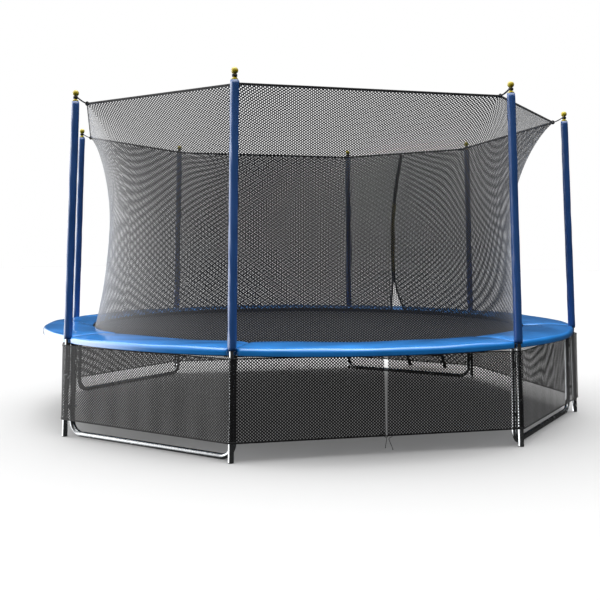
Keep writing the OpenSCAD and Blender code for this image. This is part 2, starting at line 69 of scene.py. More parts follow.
MAT_R = (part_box("mat_binding")[1][0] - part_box("mat_binding")[0][0]) / 2 - 0.006
MAT_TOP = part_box("jumping_mat")[1][2]
RING_Z = (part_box("top_rail_1")[0][2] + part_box("top_rail_1")[1][2]) / 2
PAD_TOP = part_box("pad_1")[1][2]
PAD_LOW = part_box("pad_1")[0][2]
PAD_OUTER = -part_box("pad_1")[0][1]
NET_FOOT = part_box("net_panel_1")[0][2]
NET_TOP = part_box("net_panel_1")[1][2]
SKIRT_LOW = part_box("skirt")[0][2]
SKIRT_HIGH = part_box("skirt")[1][2]
HEM_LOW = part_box("net_top_hem")[0][2]
HEM_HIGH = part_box("net_top_hem")[1][2]

# ---- Sizes that the frame's boxes don't give, in metres and radians ----

LEG_HALF = math.radians(19.0)
POLE_R = 2.320
LEAN = 0.015
SLEEVE_LOW = 0.707
SLEEVE_HIGH = 2.484
SLEEVE_RADIUS = 0.0297
SLEEVE_BORE = 0.0197
LOOP_Z = 2.515
NET_FOOT_R = 1.893
NET_WAIST_R = 1.805
NET_WAIST_Z = 1.530
NET_CORNER_R = 2.188
PAD_INNER = 1.905
POLE_CUT = 0.036
COIL_FROM_R = 2.040
COIL_LENGTH = 0.165
COIL_RADIUS = 0.0097
INNER_HOOK = 0.040
OUTER_HOOK = 0.048
DOOR_APEX = 1.060
DOOR_LEFT = 0.053
DOOR_RIGHT = 0.109
BLACK_TAPE_FROM = 1.890
YELLOW_TAPE_FROM = 1.148
SKIRT_OUT = 0.029
SLIT_AT = 0.022
SLIT_FACE = POLE_R * math.cos(math.radians(26.0)) + 0.030
TREAD_DEPTH = 0.090
TREAD_THICK = 0.024

# The camera: where it stands, and how far it is tipped and turned, in degrees.
CAMERA_AT = (3.982, -6.574, 1.329)
CAMERA_TIP = 93.751
CAMERA_TURN = 31.719

# The room's lights: the way to each, the cosines between which it fades in, and its strength.
LIGHTS = (
    ((0.0, 0.0, 1.0), 0.50, 0.90, 3.2),
    ((-0.12, 0.19, 0.97), 0.90, 0.985, 3.4),
    ((-0.97, -0.14, 0.05), 0.66, 0.97, 3.7),
    ((-0.80, -0.58, 0.20), 0.80, 0.98, 0.9),
)
ROOM_GLOW = 0.03

# The drawcord's routes: X along the skirt, Y out from its face, Z up, in millimetres.
BOW_LEFT_ROUTE = [
    (-6, 9, 130), (-14, 10, 137), (-24, 11, 146), (-34, 12, 153), (-42, 13, 152), (-44, 15, 144),
    (-38, 17, 136), (-28, 19, 130), (-17, 20, 125), (-9, 20, 117), (-7, 18, 106), (-8, 15, 93),
    (-10, 13, 80), (-12, 12, 66), (-13, 12, 52),
]
BOW_RIGHT_ROUTE = [
    (6, 9, 129), (14, 10, 133), (23, 11, 138), (31, 12, 139), (36, 13, 133), (34, 15, 126),
    (27, 17, 121), (18, 19, 119), (10, 20, 115), (10, 19, 105), (15, 17, 93), (21, 15, 80),
    (28, 13, 66), (34, 12, 52), (39, 12, 38),
]


def linear(hex_value):
    """Turns an sRGB hex value into linear red, green, blue and alpha."""
    channels = [int(hex_value[i : i + 2], 16) / 255 for i in (1, 3, 5)]
    return tuple(c / 12.92 if c <= 0.04045 else ((c + 0.055) / 1.055) ** 2.4 for c in channels) + (1.0,)


def length_setting(name, description, default, least, most):
    return FloatProperty(
        name=name, description=description, default=default, min=least, max=most, unit="LENGTH"
    )


def colour_setting(name, description, default):
    return FloatVectorProperty(
        name=name, description=description, default=linear(default), subtype="COLOR", size=4, min=0, max=1
    )


class TrampolineSizes(bpy.types.PropertyGroup):
    """Sizes that can be changed before the pieces are built."""

    net_pitch: length_setting("Net Pitch", "Distance between the holes of the net", 0.025, 0.004, 0.05)
    skirt_pitch: length_setting("Skirt Pitch", "Distance between the holes of the skirt", 0.022, 0.004, 0.05)
    pad_crown: length_setting("Pad Crown", "How far the pad's foam rises between its edges", 0.012, 0.0, 0.02)
    spring_wire: length_setting(
        "Spring Wire", "Diameter of the wire that a spring is wound from", 0.0034, 0.002, 0.005
    )
    spring_turns: IntProperty(
        name="Spring Turns", description="Number of turns in a spring's coil", default=18, min=6, max=40
    )
    cord_diameter: length_setting("Cord Diameter", "Diameter of the skirt's drawcord", 0.004, 0.002, 0.006)


class TrampolineColours(bpy.types.PropertyGroup):
    """Colours that can be changed before the pieces are built."""

    pad: colour_setting("Pad", "Colour of the pad's vinyl", "#1394F5")
    sleeve: colour_setting("Sleeve", "Colour of the pole sleeves' vinyl", "#28599B")
    cap: colour_setting("Cap", "Colour of the pole caps", "#C9B62A")
    zip_tape: colour_setting("Zip Tape", "Colour of the zip's coloured part", "#B8A522")


def sizes():
    return bpy.context.scene.trampoline_sizes


def colours():
    return bpy.context.scene.trampoline_colours


# ---- Places on the ring ----


def pole_angle(i):
    """Angle of pole i, from -Y towards +X."""
    return math.radians(90 * (i // 2)) + (LEG_HALF if i % 2 else -LEG_HALF)


def on_circle(r, a, z=0.0):
    return np.array([r * math.sin(a), -r * math.cos(a), z])


def at_pole(i):
    """The matrix that puts a piece where pole i stands, with -Y pointing outwards."""
    lean = math.atan(LEAN)
    return (
        Matrix.Rotation(pole_angle(i), 4, "Z")
        @ Matrix.Translation((0, -POLE_R, 0))
        @ Matrix.Rotation(-lean, 4, "X")
    )


def spring_angles(i):
    """Angles of the springs between poles i and i + 1."""
    count = 14 if i % 2 else 10
    start, end = pole_angle(i), pole_angle(i + 1)
    return [start + (j + 0.5) * (end - start) / count for j in range(count)]


def all_spring_angles():
    return [a for i in range(8) for a in spring_angles(i)]


def circle_angles(count):
    """Angles of count points round a circle."""
    return np.arange(count) * math.pi / (count / 2)


ALONG_SLIT_SIDE = on_circle(1.0, math.radians(45) + math.pi / 2)


# ---- Meshes ----


def linked(name, mesh):
    piece = bpy.data.objects.new(name, mesh)
    bpy.context.collection.objects.link(piece)
    return piece


def discard(piece):
    mesh = piece.data
    bpy.data.objects.remove(piece)
    bpy.data.meshes.remove(mesh)


def mesh_object(name, vertices, faces, material, uv=None, smooth=True):
    """Makes an object from vertices and faces. uv holds one pair for each vertex."""
    mesh = bpy.data.meshes.new(name)
    places = [tuple(map(float, v)) for v in vertices]
    mesh.from_pydata(places, [], [tuple(map(int, f)) for f in faces])
    mesh.update()
    if uv is not None:
        layer = mesh.uv_layers.new(name="Cloth")
        corner = np.zeros(len(mesh.loops), int)
        mesh.loops.foreach_get("vertex_index", corner)
        layer.data.foreach_set("uv", np.asarray(uv, np.float32)[corner].ravel())
    mesh.polygons.foreach_set("use_smooth", [smooth] * len(mesh.polygons))
    for one in material if isinstance(material, (list, tuple)) else [material]:
        mesh.materials.append(one)
    return linked(name, mesh)


def grid_faces(rows, columns, around=False, first=0, flip=False):
    """Quads of a grid whose points run along the columns first."""
    faces = []
    for k in range(rows - 1):
        for j in range(columns if around else columns - 1):
            a = first + k * columns + j
            b = first + k * columns + (j + 1) % columns
            face = (a, b, b + columns, a + columns)
            faces.append(face[::-1] if flip else face)
    return faces


def swept(name, path, profile, material, closed=False, up=(0, 0, 1)):
    """Sweeps a closed profile of (across, along up) points along a path, and closes its ends."""
    path = [np.asarray(p, float) for p in path]
    count, sides = len(path), len(profile)
    vertices, uv, run = [], [], 0.0
    for k, point in enumerate(path):
        ahead = path[(k + 1) % count] if closed or k < count - 1 else point
        behind = path[k - 1] if closed or k > 0 else point
        forward = (ahead - behind) / np.linalg.norm(ahead - behind)
        side = np.cross(forward, np.asarray(up, float))
        side /= np.linalg.norm(side)
        top = np.cross(side, forward)
        if k:
            run += float(np.linalg.norm(point - path[k - 1]))
        for j, (x, y) in enumerate(profile):
            vertices.append(point + side * x + top * y)
            uv.append((run, j * 0.004))
    faces = []
    for k in range(count if closed else count - 1):
        for j in range(sides):
            a, b = k * sides + j, k * sides + (j + 1) % sides
            c, d = ((k + 1) % count) * sides + (j + 1) % sides, ((k + 1) % count) * sides + j
            faces.append((a, b, c, d))
    if not closed:
        faces.append(tuple(range(sides))[::-1])
        faces.append(tuple(range((count - 1) * sides, count * sides)))
    piece = mesh_object(name, vertices, faces, material, uv)
    face_outwards(piece)
    return piece


def face_outwards(piece):
    """Merges doubles and turns the faces of a closed mesh outwards."""
    work = bmesh.new()
    work.from_mesh(piece.data)
    bmesh.ops.remove_doubles(work, verts=work.verts, dist=1e-6)
    bmesh.ops.recalc_face_normals(work, faces=work.faces)
    work.to_mesh(piece.data)
    work.free()


def rounded(width, height, radius, steps=3):
    """Points of a rounded rectangle, as a profile."""
    points = []
    for cx, cy, start in (
        (width / 2 - radius, height / 2 - radius, 0),
        (radius - width / 2, height / 2 - radius, 90),
        (radius - width / 2, radius - height / 2, 180),
        (width / 2 - radius, radius - height / 2, 270),
    ):
        for s in range(steps + 1):
            angle = math.radians(start + 90 * s / steps)
            points.append((cx + radius * math.cos(angle), cy + radius * math.sin(angle)))
    return points


def round_bar(radius, sides):
    """Points of a circle, as a profile."""
    return [(radius * math.cos(a), radius * math.sin(a)) for a in circle_angles(sides)]


def joined(name, parts, finish):
    """Joins parts into one piece."""
    work = bmesh.new()
    for part in parts:
        work.from_mesh(part.data)
        discard(part)
    mesh = bpy.data.meshes.new(name)
    work.to_mesh(mesh)
    work.free()
    mesh.materials.append(finish)
    return linked(name, mesh)


def applied(piece):
    """Turns the piece's modifiers into plain mesh."""
    bpy.context.view_layer.update()
    graph = bpy.context.evaluated_depsgraph_get()
    result = bpy.data.meshes.new_from_object(piece.evaluated_get(graph), depsgraph=graph)
    old = piece.data
    piece.modifiers.clear()
    piece.data = result
    result.name = piece.name
    bpy.data.meshes.remove(old)
    return piece


def smooth_path(points, steps):
    """A Catmull-Rom line through the points."""
    points = [np.asarray(p, float) for p in points]
    padded = [2 * points[0] - points[1]] + points + [2 * points[-1] - points[-2]]
    line = []
    for k in range(1, len(padded) - 2):
        a, b, c, d = padded[k - 1 : k + 3]
        for s in range(steps):
            t = s / steps
            square, cube = 2 * a - 5 * b + 4 * c - d, 3 * b - a - 3 * c + d
            line.append(0.5 * (2 * b + (c - a) * t + square * t**2 + cube * t**3))
    line.append(points[-1])
    return line


# ---- Nodes ----


def add(tree, kind, inputs=None, **settings):
    """Adds a node with its settings, and sets or links its inputs."""
    made = tree.nodes.new(kind)
    for key, value in settings.items():
        setattr(made, key, value)
    for key, value in (inputs or {}).items():
        if isinstance(value, bpy.types.NodeSocket):
            tree.links.new(value, made.inputs[key])
        else:
            made.inputs[key].default_value = value
    return made


def material(name, **shader):
    """A material with one Principled shader, and its tree."""
    made = bpy.data.materials.new(name)
    made.use_nodes = True
    made.node_tree.nodes.clear()
    bsdf = add(made.node_tree, "ShaderNodeBsdfPrincipled", shader)
    add(made.node_tree, "ShaderNodeOutputMaterial", {"Surface": bsdf.outputs[0]})
    return made, made.node_tree, bsdf


MADE = {}


def once(function):
    """Keeps a material after it is first made."""

    def get():
        if function.__name__ not in MADE:
            MADE[function.__name__] = function()
        return MADE[function.__name__]

    return get


WHOLE = (0.0, 1.0)


def dress(tree, bsdf, tones=None, rough=None, bump=None):
    """Gives a shader its tone and its roughness, each from a pattern, the part of the pattern's range that counts and
    the values at the two ends of that part, and its relief from a pattern, a depth and a strength."""
    if tones:
        pattern, ends, values = tones
        ramp = add(tree, "ShaderNodeValToRGB", {"Fac": pattern})
        for element, end, value in zip(ramp.color_ramp.elements, ends, values):
            element.position, element.color = end, value
        tree.links.new(ramp.outputs[0], bsdf.inputs["Base Color"])
    if rough:
        pattern, (start, end), (low, high) = rough
        spread = {"Value": pattern, "From Min": start, "From Max": end, "To Min": low, "To Max": high}
        tree.links.new(add(tree, "ShaderNodeMapRange", spread).outputs[0], bsdf.inputs["Roughness"])
    if bump:
        pattern, depth, strength = bump
        relief = add(tree, "ShaderNodeBump", {"Height": pattern, "Distance": depth, "Strength": strength})
        tree.links.new(relief.outputs[0], bsdf.inputs["Normal"])


def shades(low, high):
    return linear(low), linear(high)


def scaled(base, factor, lift=0.0):
    """A colour made darker or paler, and never past white."""
    return tuple(min(1.0, c * factor + lift) for c in base[:3]) + (1.0,)


@once
def galvanised_tube():
    # Hot-dip galvanised steel tube: a bright skin with faint spangles about 12 mm wide and small dull patches.
    made, tree, bsdf = material("galvanised_tube", Metallic=1.0)
    place = add(tree, "ShaderNodeTexCoord").outputs["Object"]
    spangle = add(tree, "ShaderNodeTexVoronoi", {"Vector": place, "Scale": 80.0}).outputs["Color"]
    cloud = add(tree, "ShaderNodeTexNoise", {"Vector": place, "Scale": 14.0, "Detail": 5.0}).outputs[0]
    dress(
        tree, bsdf, tones=(spangle, WHOLE, shades("#B4B7BA", "#D3D6D8")),
        rough=(cloud, (0.35, 0.70), (0.14, 0.32)), bump=(cloud, 0.0004, 0.3),
    )
    return made


@once
def zinc_wire():
    # Bright zinc plating on drawn wire, bolts and rings: clean, slightly blue, with fine draw lines.
    made, tree, bsdf = material("zinc_wire", **{"Metallic": 1.0, "Base Color": linear("#C6CACE")})
    place = add(tree, "ShaderNodeTexCoord").outputs["Object"]
    cloud = add(tree, "ShaderNodeTexNoise", {"Vector": place, "Scale": 60.0, "Detail": 4.0}).outputs[0]
    dress(tree, bsdf, rough=(cloud, WHOLE, (0.16, 0.38)))
    return made


def vinyl(name, base, dust, gloss):
    """Coated vinyl over foam: a glossy skin with a fine leather grain about 3 mm wide and soft handling marks."""
    shine = {"Coat Weight": gloss, "Coat Roughness": 0.12, "Specular IOR Level": 0.5 + 0.45 * gloss}
    made, tree, bsdf = material(name, IOR=1.52, **shine)
    place = add(tree, "ShaderNodeTexCoord").outputs["Object"]
    cloudy = {"Vector": place, "Scale": 3.0, "Detail": 6.0, "Roughness": 0.55}
    cloud = add(tree, "ShaderNodeTexNoise", cloudy).outputs[0]
    grain = add(tree, "ShaderNodeTexVoronoi", {"Vector": place, "Scale": 330.0}, feature="F1")
    dress(
        tree, bsdf, tones=(cloud, (0.30, 0.72), (scaled(base, 0.80), scaled(base, 1.10, dust))),
        rough=(cloud, (0.3, 0.7), (0.30, 0.42)), bump=(grain.outputs["Distance"], 0.0004, 0.25),
    )
    return made


@once
def pad_cover_vinyl():
    return vinyl("pad_cover_vinyl", tuple(colours().pad), 0.004, 1.0)


@once
def sleeve_cover_vinyl():
    return vinyl("sleeve_cover_vinyl", tuple(colours().sleeve), 0.006, 0.4)


@once
def moulded_cap_plastic():
    # Injection-moulded polyethylene: even yellow with a soft gloss and faint flow marks.
    skin = {"Coat Weight": 0.2, "Coat Roughness": 0.2, "Subsurface Weight": 0.08, "Subsurface Scale": 0.004}
    made, tree, bsdf = material("moulded_cap_plastic", IOR=1.51, **skin)
    place = add(tree, "ShaderNodeTexCoord").outputs["Object"]
    cloud = add(tree, "ShaderNodeTexNoise", {"Vector": place, "Scale": 25.0, "Detail": 4.0}).outputs[0]
    base = tuple(colours().cap)
    dress(
        tree, bsdf, tones=(cloud, WHOLE, (scaled(base, 0.82), scaled(base, 1.12))),
        rough=(cloud, WHOLE, (0.26, 0.42)),
    )
    return made


def plain_black(name, low, high, rough, scale, depth):
    """A near-black material with cloudy tone, roughness and bump."""
    made, tree, bsdf = material(name, IOR=1.5)
    place = add(tree, "ShaderNodeTexCoord").outputs["Object"]
    cloud = add(tree, "ShaderNodeTexNoise", {"Vector": place, "Scale": scale, "Detail": 5.0}).outputs[0]
    dress(
        tree, bsdf, tones=(cloud, WHOLE, shades(low, high)), rough=(cloud, WHOLE, rough),
        bump=(cloud, depth, 0.4),
    )
    return made


@once
def moulded_black_plastic():
    # Moulded polypropylene: dark, slightly grey where it is scuffed.
    return plain_black("moulded_black_plastic", "#0E0F10", "#26282A", (0.40, 0.62), 40.0, 0.0003)


@once
def black_powder_coat():
    # Powder coat on steel: an even orange-peel skin about 2 mm across.
    return plain_black("black_powder_coat", "#0C0D0E", "#1B1C1E", (0.28, 0.42), 500.0, 0.0002)


@once
def moulded_rubber():
    # Rubber boots: matt and a little dusty.
    return plain_black("moulded_rubber", "#121212", "#2B2A28", (0.62, 0.85), 60.0, 0.0004)


def woven(name, low, high, thread, rough):
    """Woven webbing or braid: ribs about one thread apart, and darker gaps between them."""
    soft = {"Sheen Weight": 0.15, "Sheen Roughness": 0.5}
    made, tree, bsdf = material(name, IOR=1.5, Roughness=rough, **soft)
    place = add(tree, "ShaderNodeTexCoord").outputs["Object"]
    ribs = {"Vector": place, "Scale": 1 / (thread * 6.283), "Distortion": 0.6}
    wave = add(tree, "ShaderNodeTexWave", ribs, bands_direction="DIAGONAL").outputs["Fac"]
    dress(tree, bsdf, tones=(wave, WHOLE, shades(low, high)), bump=(wave, 0.0006, 0.6))
    return made


@once
def black_webbing():
    # Polypropylene webbing: ribs about 3 mm apart, near black.
    return woven("black_webbing", "#060607", "#17181A", 0.003, 0.62)


@once
def yellow_zip_tape():
    # Dyed polyester zip tape: fine ribs, a dull warm yellow.
    base = tuple(colours().zip_tape)
    made, tree, bsdf = material("yellow_zip_tape", **{"IOR": 1.5, "Roughness": 0.6, "Sheen Weight": 0.2})
    place = add(tree, "ShaderNodeTexCoord").outputs["Object"]
    ribs = {"Vector": place, "Scale": 53.0, "Distortion": 0.4}
    wave = add(tree, "ShaderNodeTexWave", ribs, bands_direction="Z").outputs["Fac"]
    dress(tree, bsdf, tones=(wave, WHOLE, (scaled(base, 0.55), base)), bump=(wave, 0.0005, 0.5))
    return made


@once
def braided_cord():
    # Braided polyester cord: strands cross every 3 mm.
    return woven("braided_cord", "#050505", "#1C1C1D", 0.0025, 0.6)


@once
def woven_mat():
    # Woven polypropylene: a flat black cloth whose warp and weft show as small squares. The real
    # threads are 2 mm apart. The pattern is coarser, so that it still shows from across a garden.
    made, tree, bsdf = material("woven_mat", **{"IOR": 1.5, "Sheen Weight": 0.1, "Sheen Roughness": 0.4})
    place = add(tree, "ShaderNodeTexCoord").outputs["Object"]
    ribs = {"Vector": place, "Scale": 20.0, "Distortion": 0.3}
    warp, weft = (add(tree, "ShaderNodeTexWave", ribs, bands_direction=way).outputs["Fac"] for way in "XY")
    cross = add(tree, "ShaderNodeMath", {0: warp, 1: weft}, operation="MULTIPLY").outputs[0]
    cloudy = {"Vector": place, "Scale": 1.6, "Detail": 6.0, "Roughness": 0.6}
    cloud = add(tree, "ShaderNodeTexNoise", cloudy).outputs[0]
    dress(
        tree, bsdf, tones=(cross, WHOLE, shades("#0B0B0C", "#2A2A2C")),
        rough=(cloud, (0.3, 0.7), (0.50, 0.68)), bump=(cross, 0.0006, 0.4),
    )
    return made


def knitted_mesh(name, pitch, stretch, open_from, dark, light, sheen):
    """Knitted netting: staggered oval holes between flat black threads, cut out through the alpha. The real holes
    are 4 mm apart, and are drawn one pitch apart so that they still show from across a garden."""
    soft = {"Sheen Weight": sheen, "Sheen Roughness": 0.35, "Base Color": linear(dark)}
    made, tree, bsdf = material(name, IOR=1.5, Roughness=0.55, **soft)

    place = add(tree, "ShaderNodeUVMap", uv_map="Cloth")
    split = add(tree, "ShaderNodeSeparateXYZ", {0: place.outputs[0]})
    # Two waves across the cloth and one along it. The upright wales are stronger than the loops between them.
    rows, columns, wales = (
        add(tree, "ShaderNodeMath", {0: split.outputs[way], 1: 2 * math.pi / length}, operation="MULTIPLY").outputs[0]
        for way, length in ((1, pitch * stretch), (0, pitch), (0, pitch / 2))
    )
    row, column, wale = (
        add(tree, "ShaderNodeMath", {0: wave}, operation="COSINE").outputs[0] for wave in (rows, columns, wales)
    )
    cross = add(tree, "ShaderNodeMath", {0: column, 1: row}, operation="MULTIPLY").outputs[0]
    knit = add(tree, "ShaderNodeMath", {0: wale, 1: 0.30, 2: cross}, operation="MULTIPLY_ADD").outputs[0]
    thread = add(tree, "ShaderNodeMath", {0: knit, 1: open_from}, operation="LESS_THAN").outputs[0]
    tree.links.new(thread, bsdf.inputs["Alpha"])
    dress(tree, bsdf, tones=(cross, WHOLE, shades(dark, light)), bump=(cross, 0.0008, 0.3))
    return made


@once
def knitted_net():
    return knitted_mesh("knitted_net", sizes().net_pitch, 0.68, 0.27, "#121214", "#28292C", 0.5)


@once
def knitted_skirt():
    return knitted_mesh("knitted_skirt", sizes().skirt_pitch, 0.89, 0.36, "#0E0E10", "#2C2D31", 0.2)


@once
def pale_floor():
    # A matt studio floor that is lit a little from below.
    glow = {"Specular IOR Level": 0.1, "Emission Color": (1, 1, 1, 1), "Emission Strength": 0.13}
    made, tree, bsdf = material("pale_floor", Roughness=0.9, **glow)
    place = add(tree, "ShaderNodeTexCoord").outputs["Object"]
    cloud = add(tree, "ShaderNodeTexNoise", {"Vector": place, "Scale": 0.2, "Detail": 2.0}).outputs[0]
    dress(tree, bsdf, tones=(cloud, WHOLE, shades("#AAAAAA", "#AFAFAF")))
    return made


# ---- Repeated pieces ----


def copies_tree(name, sockets, shape):
    """A node tree that sets copies of a shape on points, each turned by the points' "turn" attribute. The function
    shape adds the shape's own nodes and gives its geometry."""
    tree = bpy.data.node_groups.get(name)
    if tree:
        return tree
    tree = bpy.data.node_groups.new(name, "GeometryNodeTree")
    for socket, kind in (("Geometry", "Geometry"), *sockets, ("Material", "Material")):
        tree.interface.new_socket(socket, in_out="INPUT", socket_type=f"NodeSocket{kind}")
    tree.interface.new_socket("Geometry", in_out="OUTPUT", socket_type="NodeSocketGeometry")
    given = add(tree, "NodeGroupInput").outputs
    turn = add(tree, "GeometryNodeInputNamedAttribute", {"Name": "turn"}, data_type="FLOAT")
    facing = add(tree, "ShaderNodeCombineXYZ", {2: turn.outputs["Attribute"]})
    copies = add(
        tree, "GeometryNodeInstanceOnPoints",
        {"Points": given["Geometry"], "Instance": shape(tree, given), "Rotation": facing.outputs[0]},
    )
    real = add(tree, "GeometryNodeRealizeInstances", {"Geometry": copies.outputs[0]})
    finish = {"Geometry": real.outputs[0], "Material": given["Material"]}
    add(tree, "NodeGroupOutput", {0: add(tree, "GeometryNodeSetMaterial", finish).outputs[0]})
    return tree


def wound_spring(tree, given):
    """One spring of round wire, wound along -Y, with a straight hook at each end."""
    coil = add(
        tree, "GeometryNodeCurveSpiral",
        {
            "Resolution": 9, "Rotations": given["Turns"], "Start Radius": given["Coil Radius"],
            "End Radius": given["Coil Radius"], "Height": given["Coil Length"],
        },
    )
    wires = add(tree, "GeometryNodeJoinGeometry")
    tree.links.new(coil.outputs[0], wires.inputs[0])
    inner = add(tree, "ShaderNodeMath", {0: given["Inner Hook"], 1: -1.0}, operation="MULTIPLY")
    outer = add(tree, "ShaderNodeMath", {0: given["Coil Length"], 1: given["Outer Hook"]}, operation="ADD")
    for start, end in ((0.0, inner.outputs[0]), (given["Coil Length"], outer.outputs[0])):
        ends = [add(tree, "ShaderNodeCombineXYZ", {2: height}).outputs[0] for height in (start, end)]
        hook = add(tree, "GeometryNodeCurvePrimitiveLine", {"Start": ends[0], "End": ends[1]})
        tree.links.new(hook.outputs[0], wires.inputs[0])
    section = add(tree, "GeometryNodeCurvePrimitiveCircle", {"Resolution": 5, "Radius": given["Wire Radius"]})
    sweep = {"Curve": wires.outputs[0], "Profile Curve": section.outputs[0], "Fill Caps": True}
    laid = {"Geometry": add(tree, "GeometryNodeCurveToMesh", sweep).outputs[0], "Rotation": (math.pi / 2, 0.0, 0.0)}
    return add(tree, "GeometryNodeTransform", laid).outputs[0]


def given_piece(tree, given):
    """The mesh of the object that is given."""
    return add(tree, "GeometryNodeObjectInfo", {"Object": given["Copied Piece"]}).outputs["Geometry"]


def spring_tree():
    names = ("Coil Radius", "Coil Length", "Turns", "Wire Radius", "Inner Hook", "Outer Hook")
    return copies_tree("wound_springs", [(name, "Float") for name in names], wound_spring)


def small_copies_tree():
    return copies_tree("small_copies", [("Copied Piece", "Object")], given_piece)


def points_object(name, points, turns):
    """Loose points with a turn each, for the node trees above."""
    mesh = bpy.data.meshes.new(name)
    mesh.from_pydata([tuple(map(float, p)) for p in points], [], [])
    mesh.attributes.new("turn", "FLOAT", "POINT").data.foreach_set("value", np.asarray(turns, np.float32))
    return linked(name, mesh)


def with_tree(piece, tree, values):
    """Runs a node tree on the piece, with its inputs set by their identifiers, and makes the result plain mesh."""
    modifier = piece.modifiers.new(tree.name, "NODES")
    modifier.node_group = tree
    identifiers = {s.name: s.identifier for s in tree.interface.items_tree if s.in_out == "INPUT"}
    for name, value in values.items():
        modifier[identifiers[name]] = value
    applied(piece)
    left = piece.data.attributes.get("turn")
    if left:
        piece.data.attributes.remove(left)


def copied(name, source, points, turns, finish):
    """Copies source onto points with a node tree, and removes it."""
    piece = points_object(name, points, turns)
    with_tree(piece, small_copies_tree(), {"Copied Piece": source, "Material": finish})
    discard(source)
    return piece


# ---- Net shape ----


def side_of(a):
    """Middle angle and half width, in radians, of the octagon's side at angle a."""
    leg = round(a / (math.pi / 2)) * math.pi / 2
    if abs(a - leg) <= LEG_HALF:
        return leg, LEG_HALF
    return leg + math.copysign(math.pi / 4, a - leg), math.pi / 4 - LEG_HALF


def net_top_radius(a):
    middle, half = side_of(a)
    return NET_CORNER_R * math.cos(half) / math.cos(a - middle)


class NetShape:
    """The net's surface: hauled out to the octagon at the top, and drawn in to a waist where the corners' pull dies
    out. A row's ripples round the hoop fade downwards, the finer ones first."""

    count = 1440
    hoop_pull = 0.55

    def __init__(self):
        angles = np.arange(self.count) * 2 * math.pi / self.count
        top = np.array([net_top_radius(a) for a in angles])
        self.waves = np.fft.rfft(top)
        self.mean = float(self.waves[0].real / self.count)
        self.rows = {}

    def row(self, z):
        key = round(z, 5)
        if key not in self.rows:
            height = NET_TOP - NET_FOOT
            end_r, end_z = (NET_FOOT_R, NET_FOOT) if z < NET_WAIST_Z else (self.mean, NET_TOP)
            base = NET_WAIST_R + (end_r - NET_WAIST_R) * ((NET_WAIST_Z - z) / (NET_WAIST_Z - end_z)) ** 2
            order = np.arange(len(self.waves))
            k = np.maximum(order * self.hoop_pull / 1.9, 1e-3)
            up = np.minimum(z - NET_FOOT, height)
            fade = np.exp(k * (up - height)) * (1 - np.exp(-2 * k * up)) / (1 - np.exp(-2 * k * height))
            waves = self.waves * fade
            waves[0] = base * self.count
            self.rows[key] = np.fft.irfft(waves, self.count)
        return self.rows[key]

    def radius(self, a, z):
        at = (a % (2 * math.pi)) / (2 * math.pi) * self.count
        low = int(at) % self.count
        values = self.row(min(max(z, NET_FOOT), NET_TOP))
        part = at - int(at)
        return float(values[low] * (1 - part) + values[(low + 1) % self.count] * part)


NET = NetShape()


def door_x(side, z):
    """How far the door's edge stands from the middle. The left edge is straight, and the right edge curves out at its
    foot."""
    if z >= DOOR_APEX:
        return 0.0
    drop = (DOOR_APEX - z) / (DOOR_APEX - NET_FOOT)
    return -DOOR_LEFT * drop if side < 0 else DOOR_RIGHT * (0.55 * drop + 0.45 * drop**3)


# ---- Operators ----


class TRAMPOLINE_OT_stage(bpy.types.Operator):
    """Makes the floor, the lights and the camera"""

    bl_idname = "trampoline.stage"
    bl_label = "Stage"

    def execute(self, context):
        corners = [(-60, -60, 0), (60, -60, 0), (60, 60, 0), (-60, 60, 0)]
        floor = mesh_object("floor", corners, [(0, 1, 2, 3)], pale_floor())
        floor.location.z = -0.0015
        camera_data = bpy.data.cameras.new("camera")
        camera_data.lens = 50
        camera_data.sensor_width = 36
        camera_data.shift_y = -1 / 6
        camera_data.clip_end = 300
        camera = bpy.data.objects.new("camera", camera_data)
        camera.location = CAMERA_AT
        camera.rotation_euler = (math.radians(CAMERA_TIP), 0, math.radians(CAMERA_TURN))
        context.collection.objects.link(camera)
        context.scene.camera = camera
        floor.visible_diffuse = False
        floor.visible_glossy = False
        self.light_world(context)
        context.scene.view_settings.view_transform = "Standard"
        return {"FINISHED"}

    def light_world(self, context):
        """A soft box overhead, a tall panel on the left and a dim wall, in a dark room with a white backdrop."""
        world = bpy.data.worlds.new("studio")
        world.use_nodes = True
        tree = world.node_tree
        tree.nodes.clear()
        place = add(tree, "ShaderNodeTexCoord").outputs["Generated"]
        total = ROOM_GLOW
        for towards, start, end, strength in LIGHTS:
            way = Vector(towards).normalized()
            side = add(tree, "ShaderNodeVectorMath", {0: place, 1: way}, operation="DOT_PRODUCT").outputs["Value"]
            fade = {"Value": side, "From Min": start, "From Max": end, "To Min": 0.0, "To Max": strength}
            glow = add(tree, "ShaderNodeMapRange", fade, interpolation_type="SMOOTHSTEP").outputs[0]
            total = add(tree, "ShaderNodeMath", {0: total, 1: glow}, operation="ADD").outputs[0]
        seen = add(tree, "ShaderNodeLightPath").outputs["Is Camera Ray"]
        room, white = (
            add(tree, "ShaderNodeBackground", {"Color": (1, 1, 1, 1), "Strength": strength}).outputs[0]
            for strength in (total, 1.0)
        )
        mix = add(tree, "ShaderNodeMixShader", {0: seen, 1: room, 2: white})
        add(tree, "ShaderNodeOutputWorld", {"Surface": mix.outputs[0]})
        context.scene.world = world


